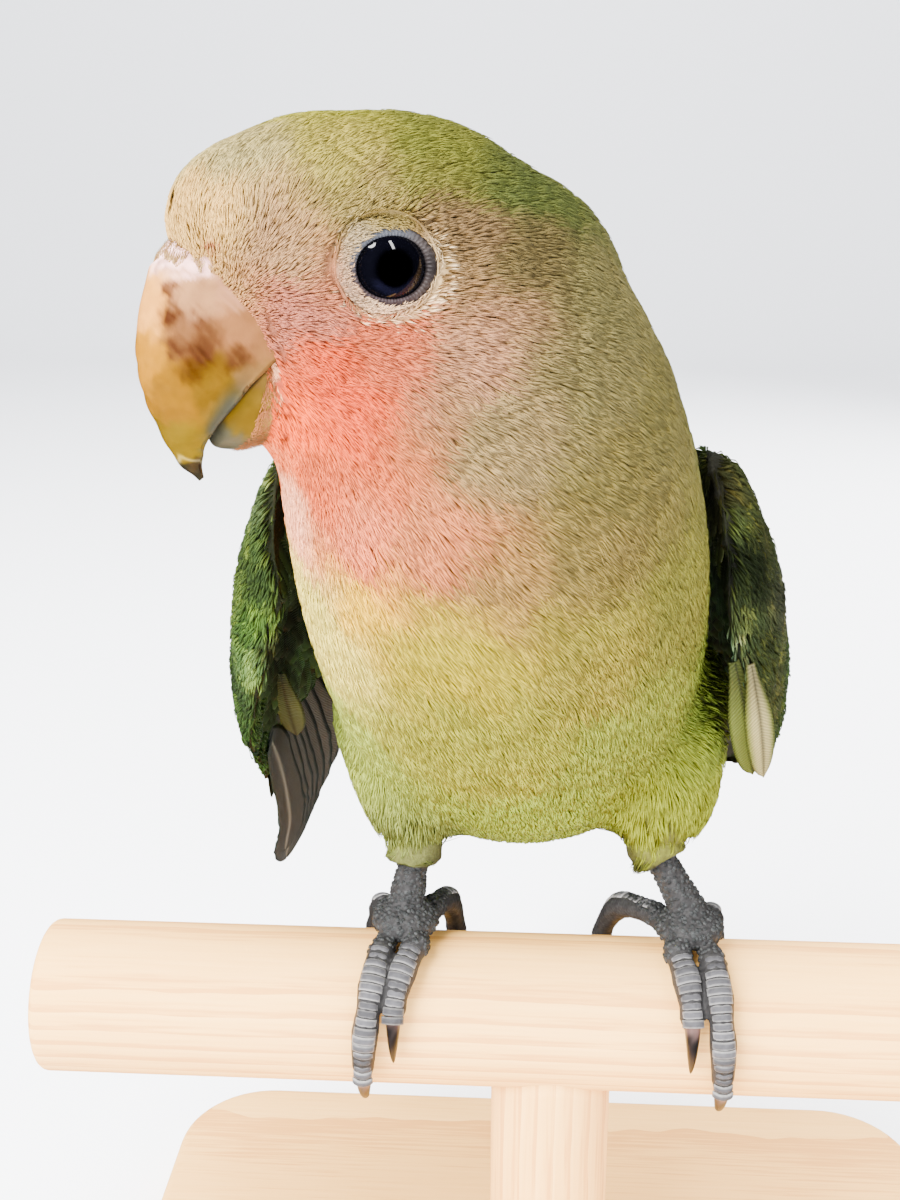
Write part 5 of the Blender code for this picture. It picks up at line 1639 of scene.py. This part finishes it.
def makeLegScales(points, faces):
    # Small round scales over the upper feet and the legs, each a domed square with round corners
    roots, ups = scatterRoots(points, faces, legs["scaleGap"])
    keep = (roots[:, 2] > perchRadius + 2.2) & (roots[:, 2] < 19)
    for foot in feet.values():
        keep |= (np.abs(roots[:, 0] - foot["across"]) < 4) & (np.abs(roots[:, 1]) < 4)
    keep &= ups[:, 2] > -0.6
    roots, ups = roots[keep], ups[keep]
    ways = flat(np.array((0.0, 0.2, -1.0)), ups)
    size = legs["scaleGap"] * luck.uniform(0.95, 1.25, len(roots))[:, None, None]
    a = np.linspace(-1, 1, 5)[None, None, :]
    b = np.linspace(-1, 1, 5)[None, :, None]
    dome = np.sqrt(np.clip(1 - np.maximum(a ** 4, b ** 4), 0.0, 1)) * (1 - 0.25 * (a ** 2 + b ** 2))
    rise = dome * legs["scaleHigh"] - 0.22 * (np.abs(a) ** 4 + np.abs(b) ** 4).clip(0, 1)
    side, ways, out = (some[:, None, None] for some in (unit(np.cross(ways, ups)), ways, ups))
    top = (roots[:, None, None] + side * (a * np.sqrt(1 - 0.42 * b ** 2) * size / 2)[..., None]
           + ways * (b * np.sqrt(1 - 0.42 * a ** 2) * size / 2)[..., None] + out * rise[..., None])
    shade = mix(fromHex(legs["scaleEdge"]), fromHex(legs["scale"]), ease(dome, 0.3, 0.9)[..., None])
    shade = shade * (1 + 0.12 * luck.normal(0, 1, (len(roots), 1, 1, 1)))
    saveScales("leg_scales", top, out, 0.2, shade, shade)


# The stand
stand = {
    "perchEdge": 0.8, "baseEdge": 1.2, "corner": 11.0,  # radii, in mm
    "perchSides": 128, "postSides": 96, "postRows": 24,
}


def nodeBox(name):
    return [np.array(corner) * 1000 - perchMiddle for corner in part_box(name)]


def makePerch():
    turns = np.linspace(0, 2 * math.pi, stand["perchSides"], endpoint=False)
    halfLength = (perchHigh.x - perchLow.x) * 500
    edge = stand["perchEdge"]
    profile = [(0.6, 0.0), (perchRadius * 0.5, 0.0), (perchRadius - edge, 0.0)]
    profile += [(perchRadius - edge + edge * math.sin(t), edge - edge * math.cos(t))
                for t in np.radians((22.5, 45, 67.5, 90))]
    ends = [(radius, -halfLength + inset) for radius, inset in profile]
    middle = [(perchRadius, x) for x in np.linspace(-halfLength + 4, halfLength - 4, 40)]
    outline = ends + middle + [(radius, -x) for radius, x in ends[::-1]]
    rings = [[(x, radius * math.cos(t), radius * math.sin(t)) for t in turns] for radius, x in outline]
    points, faces = lofted(rings)
    makePiece("perch_dowel", points, faces, finishes["pineAcross"], stands=("stand_perch",))


def makePost():  # its top is hollowed to the perch
    low, high = nodeBox("stand_rod")
    middle = (low + high) / 2
    radius = (high[0] - low[0]) / 2
    turns = np.linspace(0, 2 * math.pi, stand["postSides"], endpoint=False)
    circle = np.stack((np.cos(turns), np.sin(turns), 0 * turns), axis=1)
    reach = np.minimum((circle[:, 1] * radius + middle[1]) ** 2, perchRadius ** 2)
    saddle = -np.sqrt(perchRadius ** 2 - reach)
    rings = []
    for level in np.linspace(0, 1, stand["postRows"]):
        ring = circle * radius + (middle[0], middle[1], 0)
        ring[:, 2] = mix(low[2], saddle, level)
        rings.append(ring)
    points, faces = lofted(rings)
    makePiece("post_dowel", points, faces, finishes["pineUpright"], stands=("stand_rod",))


def makeBase():
    low, high = nodeBox("stand_base")
    corner, edge = stand["corner"], stand["baseEdge"]
    quarter = np.linspace(0, math.pi / 2, 14)
    outline, outs = [], []
    for number, (signX, signY) in enumerate(((1, 1), (-1, 1), (-1, -1), (1, -1))):
        for t in quarter + number * math.pi / 2:
            outline.append((high[0] - corner if signX > 0 else low[0] + corner,
                            high[1] - corner if signY > 0 else low[1] + corner))
            outs.append((math.cos(t), math.sin(t)))
    outline, outs = np.array(outline), np.array(outs)
    levels = [(corner - edge * 0.6, low[2])]
    levels += [(corner - edge * 0.4 * (1 - math.sin(t)), low[2] + edge * 0.4 * (1 - math.cos(t)))
               for t in np.radians((30, 60, 90))]
    levels += [(corner, mix(low[2], high[2], part)) for part in (0.3, 0.6)]
    levels += [(corner - edge * (1 - math.cos(t)), high[2] - edge * (1 - math.sin(t)))
               for t in np.radians((0, 18, 36, 54, 72, 90))]
    levels += [(corner - edge - 3, high[2])]
    rings = []
    for reach, level in levels:
        ring = outline + outs * reach
        rings.append(np.column_stack((ring, np.full(len(ring), level))))
    points, faces = lofted(rings)
    makePiece("base_board", points, faces, finishes["pineFlat"], stands=("stand_base",))


def makeVaneFinish():
    # Keratin vanes, grown as flat webs of hooked barbs: satin, streaked along the barbs
    # Barbs are 0.25 mm apart in life, and drawn at 0.42 mm so that they show
    finish, tree, shader = newFinish("vanedFeather", {"Roughness": 0.6, "Specular IOR Level": 0.12})
    marking = node(tree, "Attribute", attribute_name="marking")
    barb = node(tree, "Attribute", attribute_name="barb")
    place = node(tree, "TexCoord")
    wander = node(tree, "TexNoise", {"Vector": place.outputs["Object"], "Scale": 700.0, "Detail": 2.0})
    shift = node(tree, "Math", {0: wander.outputs["Fac"], 1: 0.5, 2: barb.outputs["Fac"]},
                 operation="MULTIPLY_ADD")
    turns = node(tree, "Math", {0: shift.outputs["Value"], 1: 2 * math.pi / 0.42}, operation="MULTIPLY")
    wave = node(tree, "Math", {0: turns.outputs["Value"]}, operation="SINE")
    shade = node(tree, "MapRange", {"Value": wave.outputs["Value"], "From Min": -1.0, "From Max": 1.0,
                                    "To Min": 0.72, "To Max": 1.08})
    tinted = node(tree, "VectorMath", {0: marking.outputs["Color"], "Scale": shade.outputs["Result"]},
                  operation="SCALE")
    tree.links.new(tinted.outputs["Vector"], shader.inputs["Base Color"])
    bump = node(tree, "Bump", {"Height": wave.outputs["Value"], "Strength": 0.5, "Distance": 0.00005})
    tree.links.new(bump.outputs["Normal"], shader.inputs["Normal"])
    finishes["vane"] = finish


def makeMottledFinish(key, name, values, scale, detail, shades):
    # The piece's own markings, made uneven by noise
    finish, tree, shader = newFinish(name, values)
    marking = node(tree, "Attribute", attribute_name="marking")
    place = node(tree, "TexCoord")
    mottle = node(tree, "TexNoise", {"Vector": place.outputs["Object"], "Scale": scale, "Detail": detail})
    shade = node(tree, "MapRange", {"Value": mottle.outputs["Fac"], **shades})
    tinted = node(tree, "VectorMath", {0: marking.outputs["Color"], "Scale": shade.outputs["Result"]},
                  operation="SCALE")
    tree.links.new(tinted.outputs["Vector"], shader.inputs["Base Color"])
    finishes[key] = finish
    return tree, shader, place, mottle


def makeBillFinish():
    # Bill horn, grown in thin layers and worn smooth: satin, slightly see-through, stained from within
    values = {
        "IOR": 1.54,
        "Specular IOR Level": 0.14,
        "Specular Tint": (1.0, 0.8, 0.15, 1.0),  # keeps the yellow deep under the gloss
        "Subsurface Weight": 0.06,
        "Subsurface Radius": (0.0012, 0.0007, 0.0004),
        "Subsurface Scale": 1.0,
    }
    shades = {"From Min": 0.3, "From Max": 0.7, "To Min": 0.86, "To Max": 1.08}
    tree, shader, _, mottle = makeMottledFinish("bill", "wornBillHorn", values, 900.0, 4.0, shades)
    soft = node(tree, "Attribute", attribute_name="soft")
    rough = node(tree, "MapRange", {"Value": soft.outputs["Fac"], "To Min": 0.34, "To Max": 0.6})
    tree.links.new(rough.outputs["Result"], shader.inputs["Roughness"])
    bump = node(tree, "Bump", {"Height": mottle.outputs["Fac"], "Strength": 0.22, "Distance": 0.0002})
    tree.links.new(bump.outputs["Normal"], shader.inputs["Normal"])


def makeEyeFinish():
    # A living eye: wet, clear cornea over a nearly black brown iris
    values = {"Roughness": 0.05, "IOR": 1.38, "Specular IOR Level": 0.2, "Coat Weight": 0.45,
              "Coat Roughness": 0.02}
    makeMottledFinish("eye", "wetCornea", values, 1500.0, 3.0, {"To Min": 0.8, "To Max": 1.2})


def makeHideFinish(key, name, scale, strength):
    # Bare bird skin, dry and finely creased: matt with a low sheen
    values = {"Roughness": 0.5, "Specular IOR Level": 0.15}
    shades = {"From Min": 0.3, "From Max": 0.7, "To Min": 0.8, "To Max": 1.12}
    tree, shader, place = makeMottledFinish(key, name, values, scale * 0.7, 3.0, shades)[:3]
    cells = node(tree, "TexVoronoi", {"Vector": place.outputs["Object"], "Scale": scale})
    bump = node(tree, "Bump", {"Height": cells.outputs["Distance"], "Strength": strength,
                               "Distance": 0.0001})
    tree.links.new(bump.outputs["Normal"], shader.inputs["Normal"])


def makeClawFinish():
    # Claw horn, grown in long fibres and polished by use: smooth, with a soft shine
    values = {"Roughness": 0.35, "IOR": 1.54}
    makeMottledFinish("claw", "polishedClawHorn", values, 1800.0, 3.0, {"To Min": 0.8, "To Max": 1.2})


def makePineFinish(key, name, direction, offset):
    # Pine, planed or turned and sanded to 180 grit, bare: matt, pale, soft growth rings 1.7 mm apart
    finish, tree, shader = newFinish(name, {"Roughness": 0.62})
    place = node(tree, "TexCoord")
    shifted = node(tree, "Mapping", {"Vector": place.outputs["Object"], "Location": offset})
    rings = node(tree, "TexWave", {"Vector": shifted.outputs["Vector"], "Scale": 0.314 / 0.0017,
                                   "Distortion": 1.6, "Detail": 2.0, "Detail Scale": 0.4},
                 wave_type="RINGS", rings_direction=direction, wave_profile="SAW")
    stretch = {"X": (90.0, 2600.0, 2600.0), "Z": (2600.0, 2600.0, 90.0)}[direction]
    fibred = node(tree, "Mapping", {"Vector": place.outputs["Object"], "Scale": stretch})
    fibres = node(tree, "TexNoise", {"Vector": fibred.outputs["Vector"], "Scale": 1.0, "Detail": 4.0})
    both = node(tree, "Math", {0: rings.outputs["Fac"], 1: 0.55, 2: fibres.outputs["Fac"]},
                operation="MULTIPLY_ADD")
    shade = node(tree, "ValToRGB", {"Fac": both.outputs["Value"]},
                 stops=((0.2, "#e6b468"), (0.8, "#dda658"), (1.0, "#cc9048")))
    tree.links.new(shade.outputs["Color"], shader.inputs["Base Color"])
    bump = node(tree, "Bump", {"Height": fibres.outputs["Fac"], "Strength": 0.3, "Distance": 0.0001})
    tree.links.new(bump.outputs["Normal"], shader.inputs["Normal"])
    finishes[key] = finish


makeCamera()
makeLamps()
makeSweep()
print("camera, lamps and floor set")
makePlumageFinish()
makeSkinFinish()
makeVaneFinish()
makeBillFinish()
makeEyeFinish()
makeHideFinish("lid", "creasedLidSkin", 2600.0, 0.35)
makeHideFinish("leg", "dryLegScale", 3200.0, 0.3)
makeClawFinish()
makePineFinish("pineAcross", "sandedPineDowel", "X", (0, 0.011, -0.075))
makePineFinish("pineUpright", "sandedPinePost", "Z", (0.013, 0.004, 0))
makePineFinish("pineFlat", "planedPineBoard", "X", (0, -0.02, 0.11))
print("finishes made")
makePerch()
makePost()
makeBase()
print("stand made")
skinPoints, skinFaces = makeSkinSurface()
legPoints, legFaces, legColours = makeLegs()
skinParts = [(skinPoints, [skinFaces])]
skinShades = [plumageAt(skinPoints)]
for side in ("left", "right"):
    corePoints, coreFaces = makeWing(side)
    skinParts.append((corePoints, [coreFaces]))
    skinShades.append(0.45 * wingShade(corePoints))
points, faces = joined(skinParts)
makePiece("skin", points, faces, finishes["skin"],
          colours=np.concatenate(skinShades),
          stands=("head", "neck", "trunk", "thigh_left", "thigh_right", "wing_left", "wing_right"))
print("skin has", len(points), "points")
makePiece("leg_skin", legPoints, [legFaces], finishes["leg"], colours=legColours,
          stands=footNodes)
makeScutes()
makeLegScales(legPoints, legFaces)
makeClaws()
print("feet made")
makeTail()
makeBill((skinPoints, skinFaces))
makeEyes((skinPoints, skinFaces))
makeCoat(skinPoints, skinFaces)
